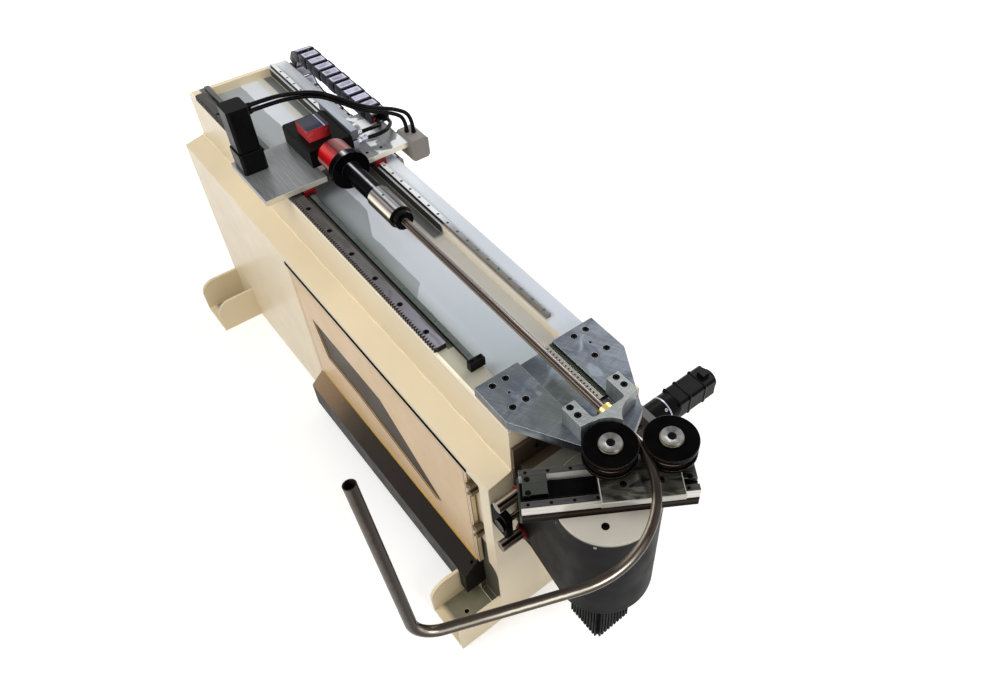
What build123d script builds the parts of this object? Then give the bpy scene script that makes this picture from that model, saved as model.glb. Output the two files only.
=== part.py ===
from build123d import *
import math
import os

# Main levels and lengths of the bed, in mm
bed_rise = 196.5
rail_front_back = 262.0
rail_height = 15.5
rail_width = 20.0
rail_gauge_half = 145.0
far_rail_back = 10.0
rail_rear_back = 20.0
body_half_length = 1100.0
bed_margin = 70.0
bed_sink = 48.0
bed_wall = 15.0
bed_cavity_top = 1022.0
tray_edge = 17.0
tray_depth = 37.0
tray_rear_back = 20.0

# Cabinet under the bed
cabinet_half_width = 302.0
fold_slope = 20.0
fold_lower = 888.0
sheet = 5.0
door_rear = -190.0
door_front_back = 120.0
recess_front_back = 53.0
door_low = 260.0
door_head = 43.0
door_gap = 2.0
recess_depth = 25.0
door_thickness = 18.0
door_land = 40.0
door_groove = 3.0
door_groove_inset = 18.0
window_shape = [(1070, 380), (570, 372), (215, 132), (260, 95), (770, 180), (1020, 188)]
window_thickness = 6.0
window_lip = 6.0
hinge_ahead = 8.0
hinge_out = 6.0
hinge_radius = 5.0
hinge_length = 60.0
hinge_top_drop = 79.0
hinge_low_rise = 242.0
hinge_foot = 16.0
hinge_pin = 2.5
hinge_play = 0.5
hinge_strap = 24.0

# Feet
foot_length = 194.0
foot_outer = 484.0
foot_base = 12.0
foot_gusset = 12.0
foot_height = 168.0
foot_corner = 70.0
pocket_high = 365.0
pocket_corner = 55.0
anchor_back = 103.0
anchor_y = 395.0
anchor_radius = 9.0

# Side skirt
skirt_outer = 360.0
skirt_low = 58.0
skirt_edge_drop = 75.0
skirt_gap = 6.0
skirt_end_back = 140.0
skirt_hole_back = 17.0
skirt_hole_out = 38.0
skirt_hole_radius = 6.0

# Feed rack and pinion
gear_module = 4.0
pressure_angle = math.radians(20.0)
rack_front_back = 370.0
rack_teeth = 140
rack_width = 41.0
rack_gap = 27.0
rack_rise = 6.0
rack_addendum = 3.6
rack_dedendum = 5.0
tooth_backlash = 0.3
rack_screw_in = 22.0
rack_screw_pitch = 150.0
rack_screw_count = 11
pinion_teeth = 20
pinion_below = 10.0
pinion_above = 5.0
pinion_shaft_radius = 12.0
flank_steps = 5

# Rail stop
stop_length = 21.0
stop_half_width = 26.0
stop_height = 34.0

# Front plates
plate_rear_back = 154.0
base_overhang = 1.0
front_overhang = 3.0
shoulder_back = 2.0
taper_out = 205.0
taper_half_width = 100.0
nose_out = 265.0
front_thickness = 34.0
channel_half = 64.5
channel_depth = 20.0
plate_screw_back = [127.5, 31.5]
plate_screw_y = [127.5, 173.5]
dowel_back = 79.0
dowel_y = 150.0
dowel_radius = 5.0

# Screws with hexagon sockets
screw_head_radius = 10.5
screw_head_height = 11.0
screw_shank_radius = 6.0
screw_play = 0.5
socket_radius = 5.6
socket_depth = 6.0
rack_head_radius = 9.5
rack_shank_radius = 5.0
rack_head_height = 9.0
rack_socket_radius = 5.0

# Workpiece tube
tube_rise = 66.0
tube_radius = 13.45
tube_wall = 2.0
tube_rear = 0.0
first_corner_out = 670.5
second_corner_out = 361.0
second_corner_y = -729.0
tube_end_out = 290.0
tube_end_y = -739.0
tube_end_rise = 615.0
first_bend_radius = 275.0
second_bend_radius = 65.0

# Guide block and bush
block_rear_out = 96.0
block_front_out = 245.0
block_shoulder_out = 188.0
block_half_width = 101.0
block_rise = 100.0
slot_half = 58.8
slot_corner = 12.0
slot_front_out = 175.0
roller_relief = 82.5
swing_relief = 121.0
tube_bore = 15.0
block_screw_out = [108.6, 141.3]
block_screw_y = 83.0
bush_flange_radius = 29.0
bush_flange = 19.0
bush_body_radius = 18.0
bush_length = 25.0
bush_bore = 13.9
strip_low_y = 36.0
strip_high_y = 50.0
strip_height = 12.0
strip_notch = 6.0
strip_pitch = 14.0
strip_margin = 8.0

# Bending head
drum_out = 296.7
drum_y = -102.5
drum_radius = 154.0
drum_low_drop = 500.0
drum_high_drop = 92.0
neck_rear_out = 41.0
neck_shoulder_out = 95.0
neck_high_drop = 180.0
cheek_front_out = 105.0
cheek_offset = 131.5
head_wall = 10.0
neck_open_out = 150.0
spigot_radius = 40.0
spigot_foot = 45.0
running_fit = 0.05
disc_radius = 152.0
disc_gap = 1.0
motor_side = 146.0
motor_drop = 817.0
motor_notch = 12.0
fin_count = 9
fin_depth = 5.0
fin_width = 5.0
motor_flange = 14.0

# Head shift: rods, screw, supports
rod_out = 70.0
screw_out = 50.0
rod_radius = 19.0
rod_drops = [215.0, 448.0]
rod_near = -321.0
rod_far = 225.0
screw_drop = 363.0
screw_radius = 10.0
screw_end_gap = 3.0
bracket_plate = 12.0
bracket_half_width = 212.0
bracket_drop = 500.0
lug_half = 27.0
lug_front_out = 97.0
lug_spans = [(-190.0, -22.0), (70.0, 212.0)]
boss_radius = 29.0
boss_out = 4.0
boss_in = 22.0
bushing_radius = 24.0
seal_thickness = 8.0
seal_radius = 25.0
seal_play = 0.5
nut_flange_radius = 30.0
nut_flange = 10.0
nut_radius = 22.0
nut_length = 54.0
screw_hole = 14.0
near_block_y = (-299.0, -275.0)
near_block_half_height = 57.0
near_block_out = 76.0
cap_ring_radius = 22.0
cap_ring = 7.0
far_block_y = (273.0, 303.0)
far_block_half_height = 58.0
far_block_out = 108.0
shift_gear_radius = 50.0
shift_gear_end = 411.0
shift_servo_side = 86.0
shift_servo_end = 586.0
shift_cap = 15.0
servo_corner = 8.0
connector_size = 30.0

# Slide module on the turntable; its long way is "along", its short way "across"
arm_angle = 57.3
module_half_length = 238.0
module_half_width = 60.0
module_low_drop = 80.0
module_high_drop = 45.0
module_rail_drop = 10.0
module_rail_offset = 49.0
module_rail_width = 20.0
module_rail_half_length = 238.0
cover_half_width = 27.0
cover_drop = 24.0
end_block_spans = [(-231.0, -164.0), (192.0, 236.0)]
end_block_across = (-24.0, 36.0)
end_block_drop = 3.0
end_plate = 5.0
roller_plate_along = (-33.0, 191.0)
roller_plate_across = (-86.0, 74.0)
roller_plate_drop = 2.0
roller_plate_rise = 20.0
plate_bevel = 2.0
roller_plate_corner = 20.0
module_block_centres = [25.0, 150.0]
module_block_length = 62.0
module_block_half = 19.0
module_block_drop = 26.0
slide_play = 0.3
roller_along = [5.6, 168.6]
roller_across = [42.0, 43.0]

# Rollers
roller_radius = 76.0
roller_low_rise = 40.0
roller_high_rise = 94.0
groove_radius = 13.95
groove_centre_radius = 75.0
hub_radius = 33.5
hub_height = 11.0
hub_sink_radius = 11.0
hub_sink = 6.0
hub_bevel = 2.0
shaft_radius = 12.0
shaft_boss_radius = 26.0
shaft_boss_gap = 1.5
shaft_end_gap = 4.0

# Carriage
carriage_rear = -465.0
carriage_front = -182.0
carriage_rise = 30.0
carriage_thickness = 21.5
carriage_near_reach = 157.0
carriage_far_reach = 123.0
ring_notch_half = 70.0
ring_rear = -252.0
ring_front = -150.0
ring_radius = 60.0
block_length = 76.0
block_half = 22.0
block_clearance = 4.0
block_centres = [-427.0, -220.0]
block_seal = 5.0
spindle_radius = 24.0
spindle_bore = 16.0
spindle_rear = -480.0
housing_half = 85.0
housing_rise = 108.0
housing_bevel = 6.0
red_block_x = (-390.0, -300.0)
red_block_y = (-58.0, 28.0)
red_block_height = 48.0
clamp_x = (-500.0, -256.0)
clamp_width = 28.5
clamp_height = 36.0
clamp_proud = 12.0
flange_x = (-146.0, -118.0)
flange_radius = 73.5
nose_front = 68.0
chuck_nose_radius = 36.0
sleeve_front = 210.0
sleeve_radius = 42.0
collet_front = 238.0
collet_rear = 150.0
collet_radius = 26.0
collet_face_radius = 34.0
collet_bore = 13.75
collet_slot = 2.0
collet_slots = 3
feed_gear_x = -401.0
feed_gear_side = 90.0
feed_gear_height = 84.0
feed_servo_side = 80.0
feed_servo_height = 170.0
servo_plug_radius = 10.0
servo_plug_length = 18.0
servo_plug_drops = [44.0, 22.0]
fitting_x = [-310.0, -264.0]
fitting_rise = 64.0
fitting_radius = 9.0
fitting_length = 24.0
fitting_block_half = [11.0, 16.0]
fitting_block_length = [12.0, 22.0]
hose_radius = 7.5
end_box_x = (-265.0, -160.0)
end_box_width = 77.0
end_box_half_height = 45.0
end_box_round = 10.0
gland_radius = 9.0
gland_height = 14.0
gland_places = [(-230.0, 296.0), (-212.0, 315.0)]
arc_share = 0.45

# Middle points of the cords, with heights above the rail top: two hoses to the chain,
# two cables over the spindle to the end box
hose_middles = [[(-310, 165, 64), (-316, 215, 58), (-330, 246, 45)],
                [(-264, 145, 64), (-250, 190, 68), (-262, 235, 66), (-298, 268, 58),
                 (-332, 284, 45)]]
hose_ends_y = [246.0, 284.0]
hose_end_rise = 45.0
cable_middles = [[(-401, -120, 246), (-412, -40, 232), (-400, 45, 216), (-345, 95, 200),
                  (-290, 155, 166), (-272, 212, 144), (-256, 262, 128), (-230, 296, 108)],
                 [(-401, -120, 268), (-412, -40, 250), (-396, 47, 232), (-340, 98, 216),
                  (-284, 159, 183), (-264, 218, 162), (-244, 274, 146), (-212, 315, 123)]]

# Cable chain
chain_clear = 11.0
chain_width = 80.0
chain_half_height = 25.0
chain_rise = 42.0
trough_clear = 19.5
chain_front = -370.0
chain_loop_x = -970.0
chain_fixed_x = -340.0
chain_pitch = 57.0
chain_gap = 3.0
chain_core = 6.0
trough_rear_back = 10.0
trough_wall = 4.0
trough_lip = 20.0
trough_play = 0.5
chain_post = 20.0

# Places worked out from the sizes above
fold_upper = fold_lower + fold_slope
bed_top = fold_upper + bed_rise
rail_top = bed_top + rail_height
bed_bottom = fold_upper - bed_sink
bed_half_width = rail_gauge_half + bed_margin
tray_half_width = rail_gauge_half - tray_edge
door_high = fold_lower - door_head
rack_back_y = -rail_gauge_half - rack_gap
rack_tip_y = rack_back_y - rack_width
rack_screw_y = rack_back_y - rack_screw_in
base_half_width = bed_half_width + base_overhang
front_half_width = bed_half_width + front_overhang
carriage_near = -rail_gauge_half - carriage_near_reach
carriage_far = rail_gauge_half + carriage_far_reach
chain_y = (bed_half_width + chain_clear, bed_half_width + chain_clear + chain_width)
rail_front = body_half_length - rail_front_back
rail_rear = rail_rear_back - body_half_length
tray_rear = tray_rear_back - body_half_length
door_front = body_half_length - door_front_back
recess_front = body_half_length - recess_front_back
window_points = [(door_front - back, door_low + up) for back, up in window_shape]
hinge_x = door_front + hinge_ahead
hinge_heights = [door_high - hinge_top_drop, door_low + hinge_low_rise]
foot_rear = body_half_length - foot_length
anchor_x = body_half_length - anchor_back
skirt_front = body_half_length - skirt_end_back
skirt_rear = door_rear
skirt_root = cabinet_half_width - recess_depth
skirt_high = door_low - skirt_gap
rack_front = body_half_length - rack_front_back
rack_top = rail_top + rack_rise
pinion_low = rail_top - pinion_below
pinion_high = rail_top + pinion_above
plate_rear = body_half_length - plate_rear_back
shoulder_x = body_half_length - shoulder_back
taper_x = body_half_length + taper_out
nose_x = body_half_length + nose_out
front_top = rail_top + front_thickness
channel_floor = front_top - channel_depth
plate_screw_x = [body_half_length - back for back in plate_screw_back]
dowel_x = body_half_length - dowel_back
tube_height = rail_top + tube_rise
first_corner = (body_half_length + first_corner_out, 0.0)
second_corner = (body_half_length + second_corner_out, second_corner_y)
tube_end = (body_half_length + tube_end_out, tube_end_y, rail_top + tube_end_rise)
block_rear = body_half_length + block_rear_out
block_front = body_half_length + block_front_out
block_shoulder = body_half_length + block_shoulder_out
block_top = rail_top + block_rise
slot_front = body_half_length + slot_front_out
block_screw_x = [body_half_length + out for out in block_screw_out]
bush_front = slot_front + bush_length
drum_x = body_half_length + drum_out
drum_low = rail_top - drum_low_drop
drum_high = rail_top - drum_high_drop
neck_rear = body_half_length + neck_rear_out
neck_shoulder = body_half_length + neck_shoulder_out
neck_high = rail_top - neck_high_drop
cheek_front = body_half_length + cheek_front_out
neck_open_front = body_half_length + neck_open_out
spigot_low = drum_low + spigot_foot
motor_low = rail_top - motor_drop
rod_x = body_half_length + rod_out
screw_x = body_half_length + screw_out
rod_heights = [rail_top - drop for drop in rod_drops]
screw_height = rail_top - screw_drop
bracket_low = rail_top - bracket_drop
lug_front = body_half_length + lug_front_out
near_block_z = (screw_height - near_block_half_height, screw_height + near_block_half_height)
near_block_front = body_half_length + near_block_out
screw_near = near_block_y[0] + screw_end_gap
screw_far = far_block_y[1] - screw_end_gap
far_block_z = (screw_height - far_block_half_height, screw_height + far_block_half_height)
far_block_front = body_half_length + far_block_out
module_low = rail_top - module_low_drop
module_high = rail_top - module_high_drop
module_rail_high = rail_top - module_rail_drop
cover_high = rail_top - cover_drop
end_block_high = rail_top - end_block_drop
roller_plate_low = rail_top - roller_plate_drop
roller_plate_high = rail_top + roller_plate_rise
module_block_low = rail_top - module_block_drop
roller_low = rail_top + roller_low_rise
roller_high = rail_top + roller_high_rise
shaft_boss_high = roller_low - shaft_boss_gap
shaft_high = roller_high - shaft_end_gap
carriage_low = bed_top + carriage_rise
carriage_high = carriage_low + carriage_thickness
block_low = bed_top + block_clearance
housing_high = rail_top + housing_rise
red_block_high = housing_high + red_block_height
clamp_high = housing_high + clamp_proud
feed_gear_high = carriage_high + feed_gear_height
feed_servo_high = feed_gear_high + feed_servo_height
servo_plug_z = [feed_servo_high - drop for drop in servo_plug_drops]
fitting_z = rail_top + fitting_rise
end_box_y = (carriage_far, carriage_far + end_box_width)
end_box_z = (rail_top - end_box_half_height, rail_top + end_box_half_height)
chain_upper_z = rail_top + chain_rise
trough_floor = fold_upper + trough_clear + trough_wall
chain_lower_z = trough_floor + trough_play + chain_half_height
chain_radius = (chain_upper_z - chain_lower_z) / 2
trough_rear = trough_rear_back - body_half_length

os.makedirs("parts", exist_ok=True)


def span(x, y, z):
    """A block between the given limits."""
    place = Pos((x[0] + x[1]) / 2, (y[0] + y[1]) / 2, (z[0] + z[1]) / 2)
    return place * Box(x[1] - x[0], y[1] - y[0], z[1] - z[0])


def post(x, y, z, radius):
    """An upright round bar."""
    return Pos(x, y, (z[0] + z[1]) / 2) * Cylinder(radius, z[1] - z[0])


def bar_x(x, y, z, radius):
    """A round bar along X."""
    return Pos((x[0] + x[1]) / 2, y, z) * Rot(0, 90, 0) * Cylinder(radius, x[1] - x[0])


def bar_y(x, y, z, radius):
    """A round bar along Y."""
    return Pos(x, (y[0] + y[1]) / 2, z) * Rot(90, 0, 0) * Cylinder(radius, y[1] - y[0])


def upright(points, z):
    """A prism from plan points between two heights."""
    return extrude(Pos(0, 0, z[0]) * make_face(Polyline(*points, close=True)), z[1] - z[0])


def side_prism(points, y):
    """A prism from (x, z) points between two y limits."""
    face = make_face(Polyline(*[(px, y[0], pz) for px, pz in points], close=True))
    return extrude(face, amount=y[1] - y[0], dir=(0, 1, 0))


def end_prism(points, x):
    """A prism from (y, z) points between two x limits."""
    face = make_face(Polyline(*[(x[0], py, pz) for py, pz in points], close=True))
    return extrude(face, amount=x[1] - x[0], dir=(1, 0, 0))


def socket_screw(x, y, top, bottom, head_radius, head_height, shank_radius, hexagon):
    """A cap screw whose head ends at top and whose shank ends at bottom."""
    head = post(x, y, (top - head_height, top), head_radius)
    shank = post(x, y, (bottom, top - head_height), shank_radius)
    key = Pos(x, y, top - socket_depth) * RegularPolygon(hexagon, 6)
    return head + shank - extrude(key, socket_depth)


def screw_hole_cut(x, y, top, bottom, head_radius, head_height, shank_radius):
    """The stepped hole for such a screw."""
    head = post(x, y, (top - head_height, top), head_radius + screw_play)
    return head + post(x, y, (bottom, top), shank_radius + screw_play)


def save(name, *shapes):
    """Write one node, a single solid or a group of solids."""
    solids = [one for shape in shapes for one in shape.solids()]
    whole = solids[0] if len(solids) == 1 else Compound(children=solids)
    whole.label = name
    export_step(whole, "parts/" + name + ".step")


# Bed: an inverted channel with a sunk tray between the two rail ledges
def make_bed():
    length = (-body_half_length, body_half_length)
    body = span(length, (-bed_half_width, bed_half_width), (bed_bottom, bed_top))
    inner = bed_half_width - bed_wall
    hollow = (-body_half_length + bed_wall, body_half_length)
    body -= span(hollow, (-inner, inner), (bed_bottom, bed_cavity_top))
    tray = span((tray_rear, plate_rear), (-tray_half_width, tray_half_width), (bed_top - tray_depth, bed_top))
    return body - tray


save("bed_frame", make_bed())


# Cabinet: folded sheet walls, open below, with the door recess on the near side
def cabinet_outline(inset):
    side = cabinet_half_width - inset
    top = bed_half_width - inset
    return [(-side, 0), (side, 0), (side, fold_lower - inset / 2), (top, fold_upper - inset),
            (-top, fold_upper - inset), (-side, fold_lower - inset / 2)]


def make_cabinet():
    shell = end_prism(cabinet_outline(0), (-body_half_length, body_half_length))
    shell -= end_prism(cabinet_outline(sheet), (-body_half_length + sheet, body_half_length - sheet))
    outside = -cabinet_half_width
    inside = outside + recess_depth + sheet
    left = door_rear - door_gap
    low = skirt_low
    high = door_high + door_gap
    shell += span((left - sheet, recess_front + sheet), (outside, inside), (low - sheet, high + sheet))
    pocket_walls = (foot_base - sheet, pocket_high + sheet)
    shell += span((skirt_front - sheet, body_half_length), (outside, inside), pocket_walls)
    shell -= span((left, recess_front), (outside, inside - sheet), (low, high))
    pocket_x = (skirt_front, body_half_length - sheet)
    pocket = span(pocket_x, (outside, inside - sheet), (foot_base, pocket_high))
    front = pocket.edges().filter_by(Axis.Y).group_by(Axis.X)[-1]
    shell -= fillet(front.sort_by(Axis.Z)[-1], pocket_corner)
    opening_x = (door_rear + door_land, door_front - door_land)
    shell -= span(opening_x, (outside, inside), (door_low + door_land, door_high - door_land))
    long_way = (-body_half_length, body_half_length)
    return shell - span(long_way, (-bed_half_width, bed_half_width), (bed_bottom, fold_upper))


save("cabinet_shell", make_cabinet())


# Skirt: a folded sheet box with a sloping top, set into the recess under the door
def skirt_outline(inset):
    outer = -skirt_outer + inset
    edge = skirt_high - skirt_edge_drop - inset
    return [(-skirt_root, skirt_low + inset), (-skirt_root, skirt_high - inset), (outer, edge),
            (outer, skirt_low + inset)]


def make_skirt():
    box = end_prism(skirt_outline(0), (skirt_rear, skirt_front))
    box -= end_prism(skirt_outline(sheet), (skirt_rear + sheet, skirt_front - sheet))
    hole_x = skirt_front - skirt_hole_back
    hole_y = -skirt_root - skirt_hole_out
    return box - post(hole_x, hole_y, (skirt_low + sheet, skirt_high), skirt_hole_radius)


save("side_skirt", make_skirt())


# Feet: base plate with anchor hole between two upright plates with a rounded outer corner
def make_foot():
    inner = cabinet_half_width
    base = span((foot_rear, body_half_length), (inner, foot_outer), (0, foot_base))
    base -= post(anchor_x, anchor_y, (0, foot_base), anchor_radius)
    for limits in ((body_half_length - foot_gusset, body_half_length), (foot_rear, foot_rear + foot_gusset)):
        plate = span(limits, (inner, foot_outer), (0, foot_height))
        upper = plate.edges().filter_by(Axis.X).group_by(Axis.Z)[-1]
        base += fillet(upper.sort_by(Axis.Y)[-1], foot_corner)
    return base


front_far_foot = make_foot()
rear_far_foot = mirror(front_far_foot, Plane.YZ)
rear_near_foot = mirror(rear_far_foot, Plane.XZ)
front_near_foot = mirror(front_far_foot, Plane.XZ)
front_near_foot -= end_prism(skirt_outline(0), (skirt_rear, skirt_front))
save("feet", front_far_foot, front_near_foot, rear_far_foot, rear_near_foot)


# Door with its long swept window
def window_outline(depth):
    return side_prism(window_points, depth)


def door_knuckle(height):
    """The middle knuckle of a hinge with its strap on the leaf."""
    reach = hinge_length / 6 - hinge_play
    limits = (height - reach, height + reach)
    front = -cabinet_half_width
    strap = span((hinge_x - hinge_strap, hinge_x), (front - hinge_out, front), limits)
    return strap + post(hinge_x, front - hinge_out, limits, hinge_radius)


def make_door():
    front = -cabinet_half_width
    leaf = span((door_rear, door_front), (front, front + door_thickness), (door_low, door_high))
    inset = door_groove_inset
    ring = span((door_rear + inset, door_front - inset), (front, front + door_groove),
                (door_low + inset, door_high - inset))
    inset += door_groove
    ring -= span((door_rear + inset, door_front - inset), (front, front + door_groove),
                 (door_low + inset, door_high - inset))
    leaf -= ring
    leaf -= window_outline((front, front + door_thickness))
    for height in hinge_heights:
        leaf += door_knuckle(height)
    for height in hinge_heights:
        leaf -= post(hinge_x, front - hinge_out, (door_low, door_high), hinge_pin + running_fit)
    return leaf


window_front = -cabinet_half_width + window_lip
save("door_leaf", make_door())
save("door_window", window_outline((window_front, window_front + window_thickness)))


# Hinges: two fixed knuckles joined by a pin, on feet that stand in the recess
def make_hinge(height):
    centre_y = -cabinet_half_width - hinge_out
    floor = -cabinet_half_width + recess_depth
    half = hinge_length / 2
    middle = hinge_length / 6
    hinge = post(hinge_x, centre_y, (height - half, height + half), hinge_pin)
    for limits in ((height - half, height - middle), (height + middle, height + half)):
        hinge += post(hinge_x, centre_y, limits, hinge_radius)
        hinge += span((hinge_x, hinge_x + hinge_foot), (centre_y, floor), limits)
    return hinge


save("door_hinges", *[make_hinge(height) for height in hinge_heights])


# Rails, stop block and base plate
def make_rail(y, front):
    return span((rail_rear, front), (y - rail_width / 2, y + rail_width / 2), (bed_top, rail_top))


near_rail = make_rail(-rail_gauge_half, rail_front)
far_rail = make_rail(rail_gauge_half, rail_front - far_rail_back)
save("linear_rails", near_rail, far_rail)
stop_y = (-rail_gauge_half - stop_half_width, -rail_gauge_half + stop_half_width)
rail_stop = span((rail_front, rail_front + stop_length), stop_y, (bed_top, bed_top + stop_height))
save("rail_stop", chamfer(rail_stop.edges().group_by(Axis.Z)[-1], door_gap))
base_y = (-base_half_width, base_half_width)
save("front_base_plate", span((plate_rear, body_half_length), base_y, (bed_top, rail_top)))

# Rack with straight-sided teeth
tooth_pitch = math.pi * gear_module
rack_pitch_y = rack_tip_y + rack_addendum
rack_rear = rack_front - rack_teeth * tooth_pitch


def rack_screw_places():
    first = rack_front - rack_screw_pitch / 2
    return [first - rack_screw_pitch * index for index in range(rack_screw_count)]


def make_rack():
    root_y = rack_pitch_y + rack_dedendum
    half = tooth_pitch / 4 - tooth_backlash / 2
    tip = half - rack_addendum * math.tan(pressure_angle)
    root = half + rack_dedendum * math.tan(pressure_angle)
    points = [(rack_rear, rack_back_y), (rack_rear, root_y)]
    for index in range(rack_teeth):
        centre = rack_rear + (index + 0.5) * tooth_pitch
        points += [(centre - root, root_y), (centre - tip, rack_tip_y)]
        points += [(centre + tip, rack_tip_y), (centre + root, root_y)]
    points += [(rack_front, root_y), (rack_front, rack_back_y)]
    rack = upright(points, (bed_top, rack_top))
    holes = [screw_hole_cut(x, rack_screw_y, rack_top, bed_top, rack_head_radius, rack_head_height,
                            rack_shank_radius) for x in rack_screw_places()]
    return rack - holes


save("feed_rack", make_rack())

# Pinion with involute flanks, one tooth facing a rack gap
pitch_radius = gear_module * pinion_teeth / 2
pinion_place = round((rack_front - feed_gear_x) / tooth_pitch)
pinion_x = rack_front - pinion_place * tooth_pitch
pinion_y = rack_pitch_y - pitch_radius


def involute(angle):
    return math.tan(angle) - angle


def make_pinion():
    base = pitch_radius * math.cos(pressure_angle)
    outer = pitch_radius + rack_addendum
    root = pitch_radius - rack_dedendum
    half_pitch = math.pi / 2 / pinion_teeth - tooth_backlash / 2 / pitch_radius
    flank = []
    for step in range(flank_steps + 1):
        radius = base + (outer - base) * step / flank_steps
        flank.append((radius, half_pitch + involute(pressure_angle) - involute(math.acos(base / radius))))
    flank.insert(0, (root, flank[0][1]))
    points = []
    for tooth in range(pinion_teeth):
        middle = math.pi / 2 + 2 * math.pi * tooth / pinion_teeth
        points += [(r * math.cos(middle - a), r * math.sin(middle - a)) for r, a in flank]
        points += [(r * math.cos(middle + a), r * math.sin(middle + a)) for r, a in reversed(flank)]
    gear = Pos(pinion_x, pinion_y, 0) * upright(points, (pinion_low, pinion_high))
    return gear + post(pinion_x, pinion_y, (pinion_high, carriage_high), pinion_shaft_radius)


save("feed_pinion", make_pinion())


# Front plate: arrow shape with a channel for the tube and sunk screws
def plate_screws():
    return [(x, side * y) for x in plate_screw_x for y in plate_screw_y for side in (-1, 1)]


def block_screws():
    return [(x, side * block_screw_y) for x in block_screw_x for side in (-1, 1)]


def make_front_plate():
    half = [(plate_rear, front_half_width), (shoulder_x, front_half_width), (taper_x, taper_half_width)]
    mirrored = [(x, -y) for x, y in reversed(half)]
    plate = upright(half + [(nose_x, 0)] + mirrored, (rail_top, front_top))
    plate -= span((plate_rear, slot_front), (-channel_half, channel_half), (channel_floor, front_top))
    for x, y in plate_screws():
        plate -= screw_hole_cut(x, y, front_top, rail_top, screw_head_radius, screw_head_height,
                                screw_shank_radius)
    for side in (-1, 1):
        plate -= post(dowel_x, side * dowel_y, (front_top - screw_head_height, front_top), dowel_radius)
    return plate


save("front_plate", make_front_plate())


# Guide block: two arms and a nose hollowed for the rollers
def make_guide_block():
    outline = [(block_rear, block_half_width), (block_shoulder, block_half_width), (block_front, 0)]
    outline += [(block_shoulder, -block_half_width), (block_rear, -block_half_width)]
    levels = (front_top, block_top)
    block = upright(outline, levels)
    slot = span((block_rear, slot_front), (-slot_half, slot_half), levels)
    block -= fillet(slot.edges().filter_by(Axis.Z).group_by(Axis.X)[-1], slot_corner)
    roller_x, roller_y = roller_places()[0]
    for side in (-1, 1):
        block -= post(roller_x, side * roller_y, levels, roller_relief)
        block -= post(drum_x, side * drum_y, levels, swing_relief)
    block -= bar_x((slot_front, block_front), 0, tube_height, tube_bore)
    block -= bar_x((slot_front, bush_front), 0, tube_height, bush_body_radius)
    for x, y in block_screws():
        block -= screw_hole_cut(x, y, block_top, front_top, screw_head_radius, screw_head_height,
                                screw_shank_radius)
    return block


def make_bush():
    bush = bar_x((slot_front - bush_flange, slot_front), 0, tube_height, bush_flange_radius)
    bush += bar_x((slot_front, bush_front), 0, tube_height, bush_body_radius)
    return bush - bar_x((slot_front - bush_flange, bush_front), 0, tube_height, bush_bore)


def make_strip():
    top = channel_floor + strip_height
    strip = span((plate_rear, block_rear), (strip_low_y, strip_high_y), (channel_floor, top))
    count = int((block_rear - plate_rear - strip_margin) / strip_pitch)
    for index in range(count):
        start = plate_rear + strip_margin + index * strip_pitch
        strip -= span((start, start + strip_notch), (strip_low_y, strip_high_y - strip_margin),
                      (top - strip_notch, top))
    return strip


def roller_places():
    turn = math.radians(arm_angle)
    places = []
    for along, across in zip(roller_along, roller_across):
        x = drum_x + along * math.cos(turn) - across * math.sin(turn)
        places.append((x, drum_y + along * math.sin(turn) + across * math.cos(turn)))
    return places


save("guide_block", make_guide_block())
save("guide_bush", make_bush())
save("notched_strip", make_strip())
screws = [socket_screw(x, y, front_top, rail_top, screw_head_radius, screw_head_height, screw_shank_radius,
                       socket_radius) for x, y in plate_screws()]
screws += [socket_screw(x, y, block_top, front_top, screw_head_radius, screw_head_height, screw_shank_radius,
                        socket_radius) for x, y in block_screws()]
screws += [socket_screw(x, rack_screw_y, rack_top, bed_top, rack_head_radius, rack_head_height,
                        rack_shank_radius, rack_socket_radius) for x in rack_screw_places()]
save("socket_screws", *screws)


# Workpiece: one tube with two bends
def make_tube():
    points = [(tube_rear, 0, tube_height), (*first_corner, tube_height)]
    points += [(*second_corner, tube_height), tube_end]
    path = FilletPolyline(*points, radius=[first_bend_radius, second_bend_radius])
    start = Plane(origin=points[0], z_dir=(1, 0, 0))
    ring = Circle(tube_radius) - Circle(tube_radius - tube_wall)
    return sweep(start * ring, path=path)


save("workpiece_tube", make_tube())


# Head shift: bracket with rod lugs, rods, screw and its two supports
def make_bracket():
    front = body_half_length + bracket_plate
    width = (-bracket_half_width, bracket_half_width)
    plate = span((body_half_length, front), width, (bracket_low, bed_cavity_top))
    for height in rod_heights:
        for limits in lug_spans:
            plate += span((front, lug_front), limits, (height - lug_half, height + lug_half))
            plate -= bar_y(rod_x, limits, height, rod_radius)
    return plate


def make_near_block():
    block = span((body_half_length, near_block_front), near_block_y, near_block_z)
    block = chamfer(block.edges().filter_by(Axis.Y), servo_corner)
    block += bar_y(screw_x, (near_block_y[0] - cap_ring, near_block_y[0]), screw_height, cap_ring_radius)
    bore = (screw_near - servo_corner, near_block_y[1])
    return block - bar_y(screw_x, bore, screw_height, screw_radius + running_fit)


def make_far_block():
    block = span((body_half_length, far_block_front), far_block_y, far_block_z)
    block = chamfer(block.edges().filter_by(Axis.Y), servo_corner)
    return block - bar_y(screw_x, far_block_y, screw_height, screw_radius + running_fit)


def square_y(x, z, side, y):
    body = span((x - side / 2, x + side / 2), y, (z - side / 2, z + side / 2))
    return chamfer(body.edges().filter_by(Axis.Y), servo_corner)


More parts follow.
